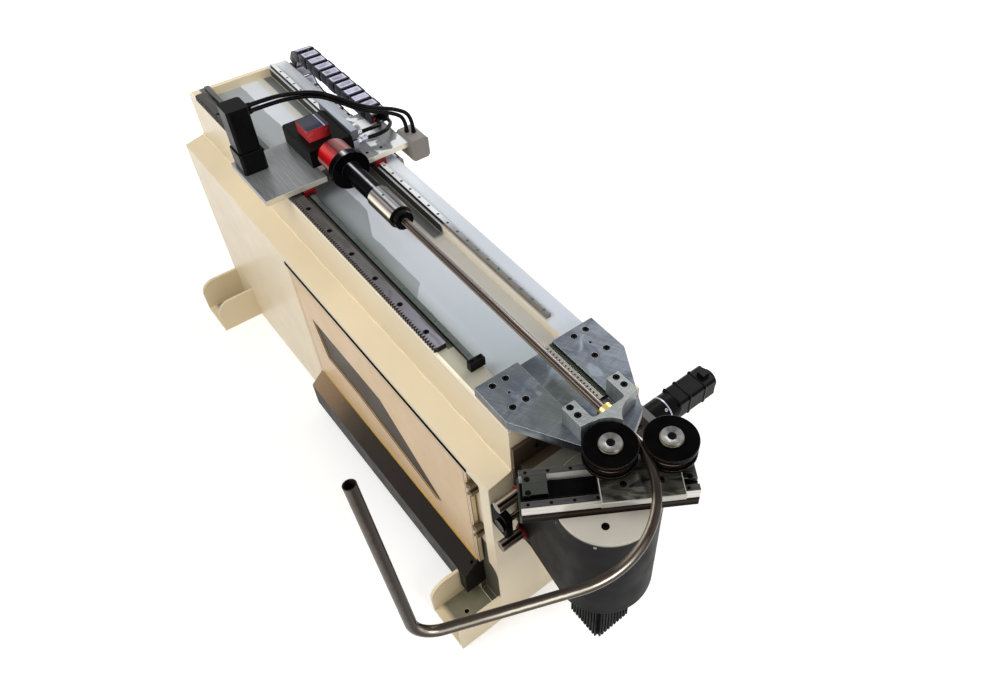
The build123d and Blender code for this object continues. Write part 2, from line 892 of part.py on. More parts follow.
def make_shift_servo():
    body = square_y(screw_x, screw_height, shift_servo_side, (shift_gear_end, shift_servo_end))
    cap = (shift_servo_end, shift_servo_end + shift_cap)
    body += bar_y(screw_x, cap, screw_height, shift_servo_side / 2 - servo_corner)
    top = screw_height + shift_servo_side / 2
    plug = span((screw_x - connector_size / 2, screw_x + connector_size / 2),
                (shift_servo_end - connector_size - servo_corner, shift_servo_end - servo_corner),
                (top, top + connector_size / 2))
    return body + plug


save("cross_slide_bracket", make_bracket())
save("cross_rods", *[bar_y(rod_x, (rod_near, rod_far), height, rod_radius) for height in rod_heights])
save("screw_bearing_block", make_near_block())
save("shift_bracket", make_far_block())
save("shift_gearbox", bar_y(screw_x, (far_block_y[1], shift_gear_end), screw_height, shift_gear_radius))
save("shift_servo", make_shift_servo())
save("shift_screw", bar_y(screw_x, (screw_near, screw_far), screw_height, screw_radius))


# Bending head housing: drum with a neck whose cheeks ride on the rods
def head_outline():
    """Plan face of drum and neck; the neck sides run tangent into the drum."""
    back = drum_x - cheek_front
    reach = math.hypot(back, cheek_offset)
    lean = math.atan2(cheek_offset, back) + math.acos(drum_radius / reach)
    touch_x = drum_x - drum_radius * math.cos(lean)
    touch_y = drum_radius * math.sin(lean)
    far = [(neck_rear, cheek_offset), (cheek_front, cheek_offset), (touch_x, touch_y)]
    points = [(x, drum_y + y) for x, y in far] + [(x, drum_y - y) for x, y in reversed(far)]
    return make_face(Polyline(*points, close=True)) + Pos(drum_x, drum_y) * Circle(drum_radius)


def cheek_sides():
    """Outer cheek planes with the direction that points out of the head."""
    return [(drum_y - cheek_offset, -1), (drum_y + cheek_offset, 1)]


def between(first, second):
    return (min(first, second), max(first, second))


def neck_notch(grow):
    """The space above the low rear part of the neck."""
    width = (drum_y - cheek_offset, drum_y + cheek_offset)
    return span((neck_rear, neck_shoulder + grow), width, (neck_high - grow, drum_high))


def make_housing():
    outline = head_outline()
    levels = (drum_low, drum_high)
    house = extrude(Pos(0, 0, levels[0]) * outline, levels[1] - levels[0]) - neck_notch(0)
    inner = offset(outline, -head_wall, kind=Kind.INTERSECTION)
    depth = levels[1] - levels[0] - 2 * head_wall
    house -= extrude(Pos(0, 0, levels[0] + head_wall) * inner, depth) - neck_notch(head_wall)
    clear = cheek_offset - head_wall
    house -= span((neck_rear, neck_open_front), (drum_y - clear, drum_y + clear), (levels[0], neck_high))
    for plane, out in cheek_sides():
        ends = between(plane + out * boss_out, plane - out * boss_in)
        for height in rod_heights:
            house += bar_y(rod_x, ends, height, boss_radius)
        for height in rod_heights:
            house -= bar_y(rod_x, ends, height, bushing_radius)
        house -= bar_y(screw_x, between(plane, plane - out * head_wall), screw_height, screw_hole)
    house -= post(drum_x, drum_y, (levels[1] - head_wall, levels[1]), spigot_radius + running_fit)
    return house


def make_bushings():
    pieces = []
    for plane, out in cheek_sides():
        ends = between(plane + out * boss_out, plane - out * boss_in)
        for height in rod_heights:
            sleeve = bar_y(rod_x, ends, height, bushing_radius)
            pieces.append(sleeve - bar_y(rod_x, ends, height, rod_radius + running_fit))
    face = drum_y - cheek_offset + head_wall
    nut = bar_y(screw_x, (face, face + nut_flange), screw_height, nut_flange_radius)
    nut += bar_y(screw_x, (face, face + nut_length), screw_height, nut_radius)
    pieces.append(nut - bar_y(screw_x, (face, face + nut_length), screw_height, screw_radius + running_fit))
    return pieces


def make_seals():
    pieces = []
    for plane, out in cheek_sides():
        start = plane + out * boss_out
        ends = between(start, start + out * seal_thickness)
        for height in rod_heights:
            ring = bar_y(rod_x, ends, height, seal_radius)
            pieces.append(ring - bar_y(rod_x, ends, height, rod_radius + seal_play))
    return pieces


def make_bend_motor():
    half = motor_side / 2
    body = span((drum_x - half, drum_x + half), (drum_y - half, drum_y + half), (motor_low, drum_low))
    levels = (motor_low, drum_low - motor_flange)
    pitch = (motor_side - 2 * motor_notch) / fin_count
    for sx in (-1, 1):
        for sy in (-1, 1):
            x = between(drum_x + sx * (half - motor_notch), drum_x + sx * half)
            y = between(drum_y + sy * (half - motor_notch), drum_y + sy * half)
            body -= span(x, y, levels)
    for index in range(fin_count):
        middle = -half + motor_notch + (index + 0.5) * pitch
        slot = (middle - fin_width / 2, middle + fin_width / 2)
        for side in (-1, 1):
            edge = between(side * (half - fin_depth), side * half)
            body -= span((drum_x + edge[0], drum_x + edge[1]), (drum_y + slot[0], drum_y + slot[1]), levels)
            body -= span((drum_x + slot[0], drum_x + slot[1]), (drum_y + edge[0], drum_y + edge[1]), levels)
    return body


save("head_housing", make_housing())
save("slide_bushings", *make_bushings())
save("rod_seals", *make_seals())
save("bend_motor", make_bend_motor())

# Turntable and slide module
arm = Pos(drum_x, drum_y, 0) * Rot(0, 0, arm_angle)


def make_disc():
    disc = post(drum_x, drum_y, (drum_high + disc_gap, module_low), disc_radius)
    return disc + post(drum_x, drum_y, (spigot_low, drum_high + disc_gap), spigot_radius)


def make_module_base():
    long_way = (-module_half_length, module_half_length)
    base = span(long_way, (-module_half_width, module_half_width), (module_low, module_high))
    return arm * (base + span(long_way, (-cover_half_width, cover_half_width), (module_high, cover_high)))


def make_module_rail(side):
    middle = side * module_rail_offset
    width = (middle - module_rail_width / 2, middle + module_rail_width / 2)
    length = (-module_rail_half_length, module_rail_half_length)
    return arm * span(length, width, (module_high, module_rail_high))


def make_module_end():
    width = (-module_half_width, module_half_width)
    plate = span((-module_half_length - end_plate, -module_half_length), width, (module_low, module_high))
    pieces = [arm * plate]
    for limits in end_block_spans:
        block = span(limits, end_block_across, (cover_high, end_block_high))
        pieces.append(arm * chamfer(block.edges().group_by(Axis.Z)[-1], door_gap))
    return pieces


def make_module_block(along, side):
    middle = side * module_rail_offset
    limits = (along - module_block_length / 2, along + module_block_length / 2)
    width = (middle - module_block_half, middle + module_block_half)
    block = span(limits, width, (module_block_low, roller_plate_low))
    half = module_rail_width / 2 + slide_play
    groove = (module_block_low, module_rail_high + slide_play)
    return arm * (block - span(limits, (middle - half, middle + half), groove))


def make_roller_plate():
    plate = span(roller_plate_along, roller_plate_across, (roller_plate_low, roller_plate_high))
    rear = plate.edges().filter_by(Axis.Z).group_by(Axis.X)[0]
    plate = fillet(rear.sort_by(Axis.Y)[-1], roller_plate_corner)
    return arm * chamfer(plate.edges().group_by(Axis.Z)[-1], plate_bevel)


def make_shaft(x, y):
    boss = post(x, y, (roller_plate_high, shaft_boss_high), shaft_boss_radius)
    return boss + post(x, y, (shaft_boss_high, shaft_high), shaft_radius)


def make_roller(x, y):
    roller = post(x, y, (roller_low, roller_high), roller_radius)
    roller = chamfer(roller.edges(), door_gap)
    roller -= Pos(x, y, tube_height) * Torus(groove_centre_radius, groove_radius)
    return roller - post(x, y, (roller_low, shaft_high + door_gap), shaft_radius + running_fit)


def make_hub(x, y):
    hub = post(x, y, (roller_high, roller_high + hub_height), hub_radius)
    hub = chamfer(hub.edges().group_by(Axis.Z)[-1], hub_bevel)
    return hub - post(x, y, (roller_high + hub_height - hub_sink, roller_high + hub_height), hub_sink_radius)


save("turntable_disc", make_disc())
save("module_base", make_module_base())
save("module_rails", *[make_module_rail(side) for side in (-1, 1)])
save("module_end_block", *make_module_end())
save("module_blocks", *[make_module_block(along, side) for along in module_block_centres for side in (-1, 1)])
save("roller_plate", make_roller_plate())
save("roller_shafts", *[make_shaft(x, y) for x, y in roller_places()])
first_roller, second_roller = roller_places()
save("roller_near", make_roller(*first_roller))
save("hub_near", make_hub(*first_roller))
save("roller_far", make_roller(*second_roller))
save("hub_far", make_hub(*second_roller))


# Carriage on the rails
def make_carriage_plate():
    levels = (carriage_low, carriage_high)
    plate = span((carriage_rear, carriage_front), (carriage_near, carriage_far), levels)
    plate -= span((ring_rear, carriage_front), (-ring_notch_half, ring_notch_half), levels)
    plate -= span((carriage_rear, chain_front), (chain_y[0] - chain_core, carriage_far), levels)
    return plate - post(pinion_x, pinion_y, levels, pinion_shaft_radius + running_fit)


def rail_saddle(x, y, low, high):
    body = span(x, (y - block_half, y + block_half), (low, high))
    half = rail_width / 2 + slide_play
    return body - span(x, (y - half, y + half), (low, rail_top + slide_play))


def make_blocks():
    half = block_length / 2
    pieces = []
    for middle in block_centres:
        for y in (-rail_gauge_half, rail_gauge_half):
            pieces.append(rail_saddle((middle - half, middle + half), y, block_low, carriage_low))
    return pieces


def make_block_seals():
    half = block_length / 2
    pieces = []
    for middle in block_centres:
        for y in (-rail_gauge_half, rail_gauge_half):
            for start in (middle - half - block_seal, middle + half):
                pieces.append(rail_saddle((start, start + block_seal), y, block_low, carriage_low - door_gap))
    return pieces


def make_spindle_housing():
    body = span((carriage_rear, ring_rear), (-housing_half, housing_half), (carriage_high, housing_high))
    body = chamfer(body.edges().filter_by(Axis.X).group_by(Axis.Z)[-1], housing_bevel)
    return body - bar_x((carriage_rear, ring_rear), 0, tube_height, spindle_radius + running_fit)


def make_front_ring():
    ring = bar_x((ring_rear, ring_front), 0, tube_height, ring_radius)
    ring = chamfer(ring.edges(), hub_bevel)
    return ring - bar_x((ring_rear, ring_front), 0, tube_height, spindle_radius + seal_play)


def make_chuck_body():
    body = bar_x((spindle_rear, flange_x[0]), 0, tube_height, spindle_radius)
    body += bar_x(flange_x, 0, tube_height, flange_radius)
    body += bar_x((flange_x[1], nose_front), 0, tube_height, chuck_nose_radius)
    return body - bar_x((spindle_rear, nose_front), 0, tube_height, spindle_bore)


def make_sleeve():
    sleeve = bar_x((nose_front, sleeve_front), 0, tube_height, sleeve_radius)
    sleeve -= bar_x((nose_front, collet_rear), 0, tube_height, spindle_bore)
    return sleeve - bar_x((collet_rear, sleeve_front), 0, tube_height, collet_radius + screw_play)


def make_collet():
    body = bar_x((collet_rear, sleeve_front), 0, tube_height, collet_radius)
    body += bar_x((sleeve_front, collet_front), 0, tube_height, collet_face_radius)
    body -= bar_x((collet_rear, collet_front), 0, tube_height, collet_bore)
    reach = collet_face_radius
    slot_rear = (collet_front + collet_rear) / 2
    for index in range(collet_slots):
        cut = span((slot_rear, collet_front), (-reach, reach), (-collet_slot / 2, collet_slot / 2))
        turn = Pos(0, 0, tube_height) * Rot(180 / collet_slots * index, 0, 0)
        body -= turn * cut
    return body


def square_post(x, y, side, z):
    body = span((x - side / 2, x + side / 2), (y - side / 2, y + side / 2), z)
    return chamfer(body.edges().filter_by(Axis.Z), servo_corner)


def make_clamp():
    width = (housing_half, housing_half + clamp_width)
    body = span(clamp_x, width, (clamp_high - clamp_height, clamp_high))
    return chamfer(body.edges().filter_by(Axis.X), door_gap)


def make_fitting(x, half, length):
    start = housing_half
    fitting = bar_y(x, (start, start + fitting_length), fitting_z, fitting_radius)
    return fitting + span((x - half, x + half), (start, start + length), (fitting_z - half, fitting_z + half))


def cord_radii(points):
    """The largest arc at each corner that leaves both its runs a straight middle."""
    runs = [Vector(*end) - Vector(*start) for start, end in zip(points, points[1:])]
    radii = []
    for before, after in zip(runs, runs[1:]):
        half_turn = math.radians(before.get_angle(after)) / 2
        radii.append(arc_share * min(before.length, after.length) / math.tan(half_turn))
    return radii


def above_rail(points):
    return [(x, y, rail_top + z) for x, y, z in points]


def cord(points):
    radii = cord_radii(points)
    path = FilletPolyline(*points, radius=radii)
    print("cord", round(path.length), "mm, radii", [round(radius) for radius in radii])
    start = Vector(*points[0])
    way = Vector(*points[1]) - start
    return sweep(Plane(origin=start, z_dir=way) * Circle(hose_radius), path=path)


def servo_plug_start():
    return pinion_y + feed_servo_side / 2


def make_cords():
    pieces = []
    begin = housing_half + fitting_length
    for x, middles, y in zip(fitting_x, hose_middles, hose_ends_y):
        end = (chain_front, y, rail_top + hose_end_rise)
        pieces.append(cord([(x, begin, fitting_z), *above_rail(middles), end]))
    top = end_box_z[1] + gland_height
    begin = servo_plug_start() + servo_plug_length
    for z, middles, (x, y) in zip(servo_plug_z, cable_middles, gland_places):
        pieces.append(cord([(feed_gear_x, begin, z), *above_rail(middles), (x, y, top)]))
        pieces.append(post(x, y, (end_box_z[1], top), gland_radius))
    return pieces


def make_feed_servo():
    body = square_post(pinion_x, pinion_y, feed_servo_side, (feed_gear_high, feed_servo_high))
    start = servo_plug_start()
    for z in servo_plug_z:
        body += bar_y(feed_gear_x, (start, start + servo_plug_length), z, servo_plug_radius)
    return body


def make_end_box():
    box = span(end_box_x, end_box_y, end_box_z)
    return chamfer(box.edges().filter_by(Axis.X), end_box_round)


save("carriage_plate", make_carriage_plate())
save("bearing_blocks", *make_blocks())
save("block_seals", *make_block_seals())
save("spindle_housing", make_spindle_housing())
red_block = span(red_block_x, red_block_y, (housing_high, red_block_high))
save("red_block", chamfer(red_block.edges().group_by(Axis.Z)[-1], hub_bevel))
save("front_ring", make_front_ring())
save("clamp_cylinder", make_clamp())
fitting_sizes = zip(fitting_x, fitting_block_half, fitting_block_length)
save("hose_fittings", *[make_fitting(*sizes) for sizes in fitting_sizes])
save("hoses_cables", *make_cords())
save("end_box", make_end_box())
save("feed_gearbox", square_post(pinion_x, pinion_y, feed_gear_side, (carriage_high, feed_gear_high)))
save("feed_servo", make_feed_servo())
save("chuck_body", make_chuck_body())
save("chuck_sleeve", make_sleeve())
save("collet", make_collet())


# Cable chain: straight runs of links, a half loop, and the trough under the lower run
def make_run(rear, front, level):
    core_y = (chain_y[0] + chain_core, chain_y[1] - chain_core)
    inner = chain_half_height - chain_core
    run = span((rear, front), core_y, (level - inner, level + inner))
    count = int((front - rear) / chain_pitch)
    pitch = (front - rear) / count
    for index in range(count):
        start = rear + index * pitch
        run += span((start + chain_gap, start + pitch), chain_y,
                    (level - chain_half_height, level + chain_half_height))
    return run


def make_loop():
    middle_z = chain_upper_z - chain_radius
    outer = chain_radius + chain_half_height
    loop = bar_y(chain_loop_x, chain_y, middle_z, outer)
    loop -= bar_y(chain_loop_x, chain_y, middle_z, chain_radius - chain_half_height)
    loop -= span((chain_loop_x, chain_loop_x + outer), chain_y, (middle_z - outer, middle_z + outer))
    links = int(math.pi * chain_radius / chain_pitch)
    for index in range(links):
        turn = 180 * (index + 0.5) / links
        slot = Pos(chain_loop_x, 0, middle_z) * Rot(0, turn, 0)
        for low, high in ((chain_y[0], chain_y[0] + chain_core), (chain_y[1] - chain_core, chain_y[1])):
            cut = span((-chain_gap / 2, chain_gap / 2), (low, high), (-outer, outer))
            half = cut & span((-outer, outer), (low, high), (-outer, 0))
            loop -= slot * half
    return loop


def make_trough():
    floor = trough_floor
    inner = bed_half_width
    outer = chain_y[1] + trough_wall
    long_way = (trough_rear, chain_fixed_x + chain_post)
    trough = span(long_way, (inner, outer), (floor - trough_wall, floor))
    trough += span(long_way, (chain_y[1] + trough_play, outer), (floor, floor + trough_lip))
    anchor = (chain_fixed_x, chain_fixed_x + chain_post)
    return trough + span(anchor, chain_y, (floor, chain_lower_z + chain_half_height))


save("cable_chain_upper", make_run(chain_loop_x, chain_front, chain_upper_z))
save("cable_chain_lower", make_run(chain_loop_x, chain_fixed_x, chain_lower_z))
save("cable_chain_loop", make_loop())
save("chain_trough", make_trough())
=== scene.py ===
import math
from functools import partialmethod

import bmesh
import bpy
from mathutils import Matrix, Vector


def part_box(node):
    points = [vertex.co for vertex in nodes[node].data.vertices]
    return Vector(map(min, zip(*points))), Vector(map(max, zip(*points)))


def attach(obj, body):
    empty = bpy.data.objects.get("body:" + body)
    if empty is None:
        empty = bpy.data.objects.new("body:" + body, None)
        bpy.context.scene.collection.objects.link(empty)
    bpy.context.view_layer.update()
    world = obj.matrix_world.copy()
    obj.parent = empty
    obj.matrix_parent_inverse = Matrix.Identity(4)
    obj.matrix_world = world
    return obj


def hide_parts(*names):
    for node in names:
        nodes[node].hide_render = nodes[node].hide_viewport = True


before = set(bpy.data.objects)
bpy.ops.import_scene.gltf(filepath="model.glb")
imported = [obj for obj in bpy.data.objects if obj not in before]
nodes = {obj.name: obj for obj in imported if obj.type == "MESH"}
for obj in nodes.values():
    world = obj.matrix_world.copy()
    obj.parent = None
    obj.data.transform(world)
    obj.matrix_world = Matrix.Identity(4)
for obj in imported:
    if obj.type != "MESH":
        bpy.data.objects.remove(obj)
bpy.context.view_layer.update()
scene = bpy.context.scene
scene.view_settings.view_transform = "Standard"

# Sizes and directions shared with the solids, in metres
RAIL_LOW, RAIL_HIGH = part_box("linear_rails")
RAIL_OFFSET = 0.145
DRUM = Vector((1.3967, -0.1025, 0.0))
ARM_ANGLE = math.radians(57.3)
ARM = Matrix.Translation(DRUM) @ Matrix.Rotation(ARM_ANGLE, 4, "Z")
ARM_NEAR = Vector((math.sin(ARM_ANGLE), -math.cos(ARM_ANGLE), 0.0))
AWAY_UP = Vector((-0.54, 0.49, 0.68))
UP = Vector((0, 0, 1))


# Camera at the photograph's viewing angle
def make_camera():
    data = bpy.data.cameras.new("camera")
    data.sensor_width = 36.0
    data.lens = 29.73
    data.shift_x = -0.0917
    data.shift_y = -0.0168
    data.clip_end = 100.0
    camera = bpy.data.objects.new("camera", data)
    scene.collection.objects.link(camera)
    camera.matrix_world = Matrix(((0.64935, -0.57094, 0.50237, 2.23538),
                                  (0.76005, 0.46474, -0.45425, -0.94426),
                                  (0.02588, 0.67679, 0.73572, 3.00194),
                                  (0, 0, 0, 1)))
    scene.camera = camera


make_camera()


# Materials: three numbers are a colour as a screen shows it, 0 to 255, and four are linear light
def light(color):
    """Linear light of a colour."""
    if len(color) == 4:
        return color
    shares = [v / 255.0 for v in color]
    return tuple(v / 12.92 if v <= 0.04045 else ((v + 0.055) / 1.055) ** 2.4 for v in shares) + (1.0,)


def shade(color, factor):
    return tuple(min(1.0, c * factor) for c in light(color)[:3]) + (1.0,)


class Tree:
    """Small helper around one node tree."""

    def __init__(self, tree):
        self.tree = tree

    def link(self, start, end):
        self.tree.links.new(start, end)

    def node(self, kind, fed=None, **values):
        """Outputs of a new node with these values; a fed input takes an output or a plain value."""
        made = self.tree.nodes.new(kind)
        for key, value in values.items():
            setattr(made, key, value)
        for key, value in (fed or {}).items():
            if isinstance(value, bpy.types.NodeSocket):
                self.link(value, made.inputs[key])
            else:
                made.inputs[key].default_value = value
        return made.outputs

    def ramp(self, value, low, high, out_low=0.0, out_high=1.0):
        fed = {"Value": value, "From Min": low, "From Max": high, "To Min": out_low, "To Max": out_high}
        return self.node("ShaderNodeMapRange", fed)["Result"]

    def math(self, operation, first, second=0.0):
        return self.node("ShaderNodeMath", {0: first, 1: second}, operation=operation)[0]

    plus = partialmethod(math, "ADD")
    minus = partialmethod(math, "SUBTRACT")
    times = partialmethod(math, "MULTIPLY")
    most = partialmethod(math, "MAXIMUM")
    above = partialmethod(math, "GREATER_THAN")
    below = partialmethod(math, "LESS_THAN")

    def inside(self, value, low, high):
        """1 where the value lies between low and high."""
        return self.times(self.above(value, low), self.below(value, high))


class Maker(Tree):
    """One material: its patterns, tones and finish."""

    def __init__(self, name, metallic, specular=0.5, coat=0.0):
        self.mat = bpy.data.materials.new(name)
        self.mat.use_nodes = True
        super().__init__(self.mat.node_tree)
        self.sockets = self.tree.nodes["Principled BSDF"].inputs
        self.coords = self.node("ShaderNodeTexCoord")
        self.x, self.y, self.z = self.node("ShaderNodeSeparateXYZ", {0: self.coords["Object"]})
        self.rounded = None
        self.sockets["Metallic"].default_value = metallic
        self.sockets["Specular IOR Level"].default_value = specular
        self.sockets["Coat Weight"].default_value = coat
        self.sockets["Coat Roughness"].default_value = 0.12

    def noise(self, scale, detail=3.0, stretch=(1, 1, 1), turn=0.0, distort=0.0):
        fed = {"Vector": self.coords["Object"], "Scale": [1.0 / s for s in stretch], "Rotation": (0, 0, turn)}
        mapped = self.node("ShaderNodeMapping", fed, vector_type="TEXTURE")
        fed = {"Vector": mapped["Vector"], "Scale": scale, "Detail": detail, "Distortion": distort}
        return self.node("ShaderNodeTexNoise", fed)["Fac"]

    def soft(self, scale, detail=3.0, out_low=0.0, out_high=1.0, **shape):
        """Noise spread over a range."""
        return self.ramp(self.noise(scale, detail, **shape), 0.3, 0.7, out_low, out_high)

    def mix(self, factor, first, second):
        first, second = [light(v) if isinstance(v, tuple) else v for v in (first, second)]
        return self.node("ShaderNodeMix", {"Factor": factor, 6: first, 7: second}, data_type="RGBA")[2]

    def tones(self, factor, color, low, high):
        """From a darker to a lighter shade of one colour."""
        return self.mix(factor, shade(color, low), shade(color, high))

    def clouds(self, color, vary=0.05, scale=3.0, detail=4.0):
        """Soft clouds of darker and lighter tone."""
        return self.tones(self.soft(scale, detail), color, 1 - vary, 1 + vary)

    def waver(self, value, lines, reach=0.02):
        """The value, shifted a little to and fro by the lines."""
        return self.plus(value, self.ramp(lines, 0.2, 0.8, -reach, reach))

    def bands(self, value, stops):
        """A colour for each place on a scale from 0 to 1."""
        made = self.tree.nodes.new("ShaderNodeValToRGB")
        elements = made.color_ramp.elements
        elements.remove(elements[1])
        elements[0].position = stops[0][0]
        elements[0].color = light(stops[0][1:])
        for place, *color in stops[1:]:
            elements.new(place).color = light(color)
        self.link(value, made.inputs["Fac"])
        return made.outputs["Color"]

    def dot(self, first, second):
        return self.node("ShaderNodeVectorMath", {0: first, 1: second}, operation="DOT_PRODUCT")["Value"]

    def toward(self, way):
        """How far the surface faces this way, from -1 to 1."""
        return self.dot(self.coords["Normal"], Vector(way).normalized())

    def edges(self, radius):
        """1 along sharp edges and 0 on flats; the edges are shaded as if rounded."""
        self.rounded = self.node("ShaderNodeBevel", {"Radius": radius}, samples=6)[0]
        flat = self.node("ShaderNodeNewGeometry")["Normal"]
        return self.ramp(self.dot(self.rounded, flat), 0.98, 0.80)

    def edge_wear_and_highlight(self, tone, color, radius, share):
        """The tone with another colour along its sharp edges, as wear and as a painted highlight."""
        return self.mix(self.times(self.edges(radius), share), tone, color)

    def surface(self, tone, gloss, limits, grain, strength, depth=0.0002):
        """Ends a look with its tone, a roughness that follows the gloss between limits, and a fine bump."""
        fed = {"Strength": strength, "Distance": depth, "Height": grain}
        if self.rounded:
            fed["Normal"] = self.rounded
        bump = self.node("ShaderNodeBump", fed)["Normal"]
        rough = self.ramp(gloss, *limits)
        for key, value in (("Base Color", tone), ("Roughness", rough), ("Normal", bump)):
            self.link(value, self.sockets[key])
        return self.mat


def finish_paint(m, tone, rough, edge_color, edge_radius, edge_share):
    """Paint ends in edges lightened by wear and a painted highlight, faint dust, uneven gloss and orange
    peel.
    """
    speck = m.times(m.ramp(m.noise(170.0, 2.0), 0.70, 0.78), 0.2)
    dusty = m.mix(speck, tone, shade(edge_color, 0.5))
    edge_wear_and_highlight = m.edge_wear_and_highlight(dusty, edge_color, edge_radius, edge_share)
    limits = (0.3, 0.7, rough - 0.06, rough + 0.08)
    return m.surface(edge_wear_and_highlight, m.noise(14.0), limits, m.noise(420.0, 2.0), 0.05, 0.0004)


def paint(name, color, rough, vary=0.05, coat=0.0, specular=0.4, edge=1.35, edge_radius=0.003):
    """Sprayed paint with soft clouds of tone."""
    m = Maker(name, 0.0, specular, coat)
    return finish_paint(m, m.clouds(color, vary), rough, shade(color, edge), edge_radius, 0.6)


def brushed(name, color, rough, along, vary=0.18, turn=0.0, edge=1.7, cloud=0.10):
    """Ground or drawn metal: fine lines along one way over soft clouds of darker tone, with bright edges of
    wear and painted highlight.
    """
    m = Maker(name, 1.0)
    lines = m.noise(12.0, 4.0, along, turn)
    tone = m.tones(m.ramp(lines, 0.3, 0.7), color, 1 - vary, 1 + vary)
    dark_clouds = m.ramp(m.noise(9.0, 4.0, distort=0.6), 0.35, 0.7, 0.0, cloud * 3)
    edge_wear_and_highlight = m.edge_wear_and_highlight(m.mix(dark_clouds, tone, shade(color, 0.62)), shade(color, edge), 0.0012, 0.8)
    return m.surface(edge_wear_and_highlight, lines, (0.25, 0.75, rough - 0.08, rough + 0.10), lines, 0.10, 0.0003)


def plastic(name, color, rough, vary=0.08, specular=0.4, grain_scale=600.0, edge=1.4):
    """Moulded plastic or rubber with a fine grain and lighter edges of wear and painted highlight."""
    m = Maker(name, 0.0, specular)
    edge_wear_and_highlight = m.edge_wear_and_highlight(m.clouds(color, vary, 25.0, 3.0), shade(color, edge), 0.0015, 0.5)
    limits = (0.3, 0.7, rough - 0.05, rough + 0.07)
    return m.surface(edge_wear_and_highlight, m.noise(60.0, 2.0), limits, m.noise(grain_scale, 2.0), 0.08, 0.0003)


def mirror_bands(name, way, stops, rough, streak, metallic=0.6):
    """Polished round metal: painted reflections as light and dark streaks that follow how the surface faces
    one way.
    """
    m = Maker(name, metallic, 0.2)
    lines = m.noise(14.0, 4.0, streak)
    tone = m.bands(m.waver(m.ramp(m.toward(way), -1.0, 1.0), lines), stops)
    return m.surface(tone, lines, (0.25, 0.75, rough - 0.05, rough + 0.08), lines, 0.04)


def ground_plate(name, color, cloud_share=0.6, metallic=1.0):
    """Surface-ground steel: crossed grinding swirls under blue and green clouds and a painted pale sheen of
    reflection, with bright edges of wear and painted highlight.
    """
    m = Maker(name, metallic)
    first = m.noise(10.0, 5.0, (2, 30, 1), 0.5, 0.5)
    second = m.noise(10.0, 5.0, (26, 2, 1), 0.2, 0.5)
    lines = m.plus(m.times(first, 0.6), m.times(second, 0.4))
    cloud = m.noise(8.0, 6.0, distort=1.4)
    tone = m.tones(m.ramp(lines, 0.38, 0.62), color, 0.78, 1.22)
    blue = m.mix(m.ramp(cloud, 0.45, 0.62, 0.0, cloud_share), tone, (62, 68, 78))
    green = m.mix(m.ramp(m.noise(5.0, 3.0), 0.5, 0.7, 0.0, 0.5), blue, (88, 94, 84))
    # Painted reflection: a pale sheen in soft clouds
    sheen = m.ramp(m.noise(13.0, 5.0, distort=1.0), 0.58, 0.74, 0.0, 0.5)
    with_sheen = m.mix(sheen, green, (150, 160, 172))
    edge_wear_and_highlight = m.mix(m.edges(0.0014), with_sheen, (226, 230, 226))
    return m.surface(edge_wear_and_highlight, cloud, (0.3, 0.7, 0.30, 0.46), lines, 0.12, 0.0003)


def faced_metal(name, dark, bright, way, rough=0.26, share=0.4):
    """Metal with painted light: faces turned one way are painted bright while the others stay dark, with
    lighter edges of wear and painted highlight.
    """
    m = Maker(name, 0.5, 0.15)
    lines = m.soft(12.0, 4.0, stretch=(1, 40, 40))
    shining = m.ramp(m.toward(way), share, share + 0.1)
    tone = m.mix(shining, m.tones(lines, dark, 0.75, 1.25), m.tones(lines, bright, 0.82, 1.08))
    edge_wear_and_highlight = m.edge_wear_and_highlight(tone, (214, 212, 206), 0.001, 0.7)
    return m.surface(edge_wear_and_highlight, lines, (0.0, 1.0, rough - 0.06, rough + 0.08), lines, 0.06)


def turned_metal(name, color):
    """Lathe-turned face: concentric lines under painted fan-shaped glints about the local axis."""
    m = Maker(name, 1.0)
    place = m.coords["Object"]
    fan = m.node("ShaderNodeTexGradient", {"Vector": place}, gradient_type="RADIAL")["Fac"]
    glint = m.math("SINE", m.times(fan, 4.0 * math.pi))
    finer = m.math("SINE", m.times(fan, 14.0 * math.pi))
    both = m.plus(glint, m.times(finer, 0.35))
    fed = {"Vector": place, "Scale": 260.0, "Distortion": 0.4}
    rings = m.node("ShaderNodeTexWave", fed, wave_type="RINGS", rings_direction="Z")["Fac"]
    tone = m.tones(m.ramp(both, -1.0, 1.2), color, 0.62, 1.45)
    lined = m.mix(m.times(rings, 0.25), tone, shade(color, 0.6))
    return m.surface(lined, rings, (0.0, 1.0, 0.22, 0.34), rings, 0.08)


CREAM = (231, 214, 181)
# Lighter cream of the painted highlight along the cream paint's edges
CREAM_EDGE_HIGHLIGHT = (252, 238, 208)
TRAY = (210, 214, 220)
# Pale blue grey of the painted reflection on the bed's far ledge
FAR_LEDGE_REFLECTION = (222, 227, 233)
# Lighter cream of the painted highlight on the bed's near lip and far tray wall
BED_HIGHLIGHT = (250, 238, 214)
OFF_WHITE = (194, 189, 176)
# Dark green grey: painted shade on the head's top plate under the front plate
HEAD_TOP_SHADE = (100, 100, 89)
ANTHRACITE = (24, 22, 22)
DIRT = (46, 38, 32)

# Where the bed's paint and its painted light and shade change, in metres
INNER_HALF_LENGTH = 1.096
TRAY_HALF = 0.1279
TRAY_LEVEL = 1.0685
BED_TOP = 1.1043
STRIP_NEAR = -0.1730
STRIP_FAR = -0.1275
STRIP_FRONT = 0.740
BARE_REAR = 0.700
LIP_Y = -0.2050
LIP_LOW = 1.0950
LIP_SHADE_LOW = 1.0900
CHUCK_SHADE_END = 0.245
CHUCK_SHADE_FADE = 0.015


def between_ends(m):
    """1 everywhere but on the end faces."""
    return m.inside(m.x, -INNER_HALF_LENGTH, INNER_HALF_LENGTH)


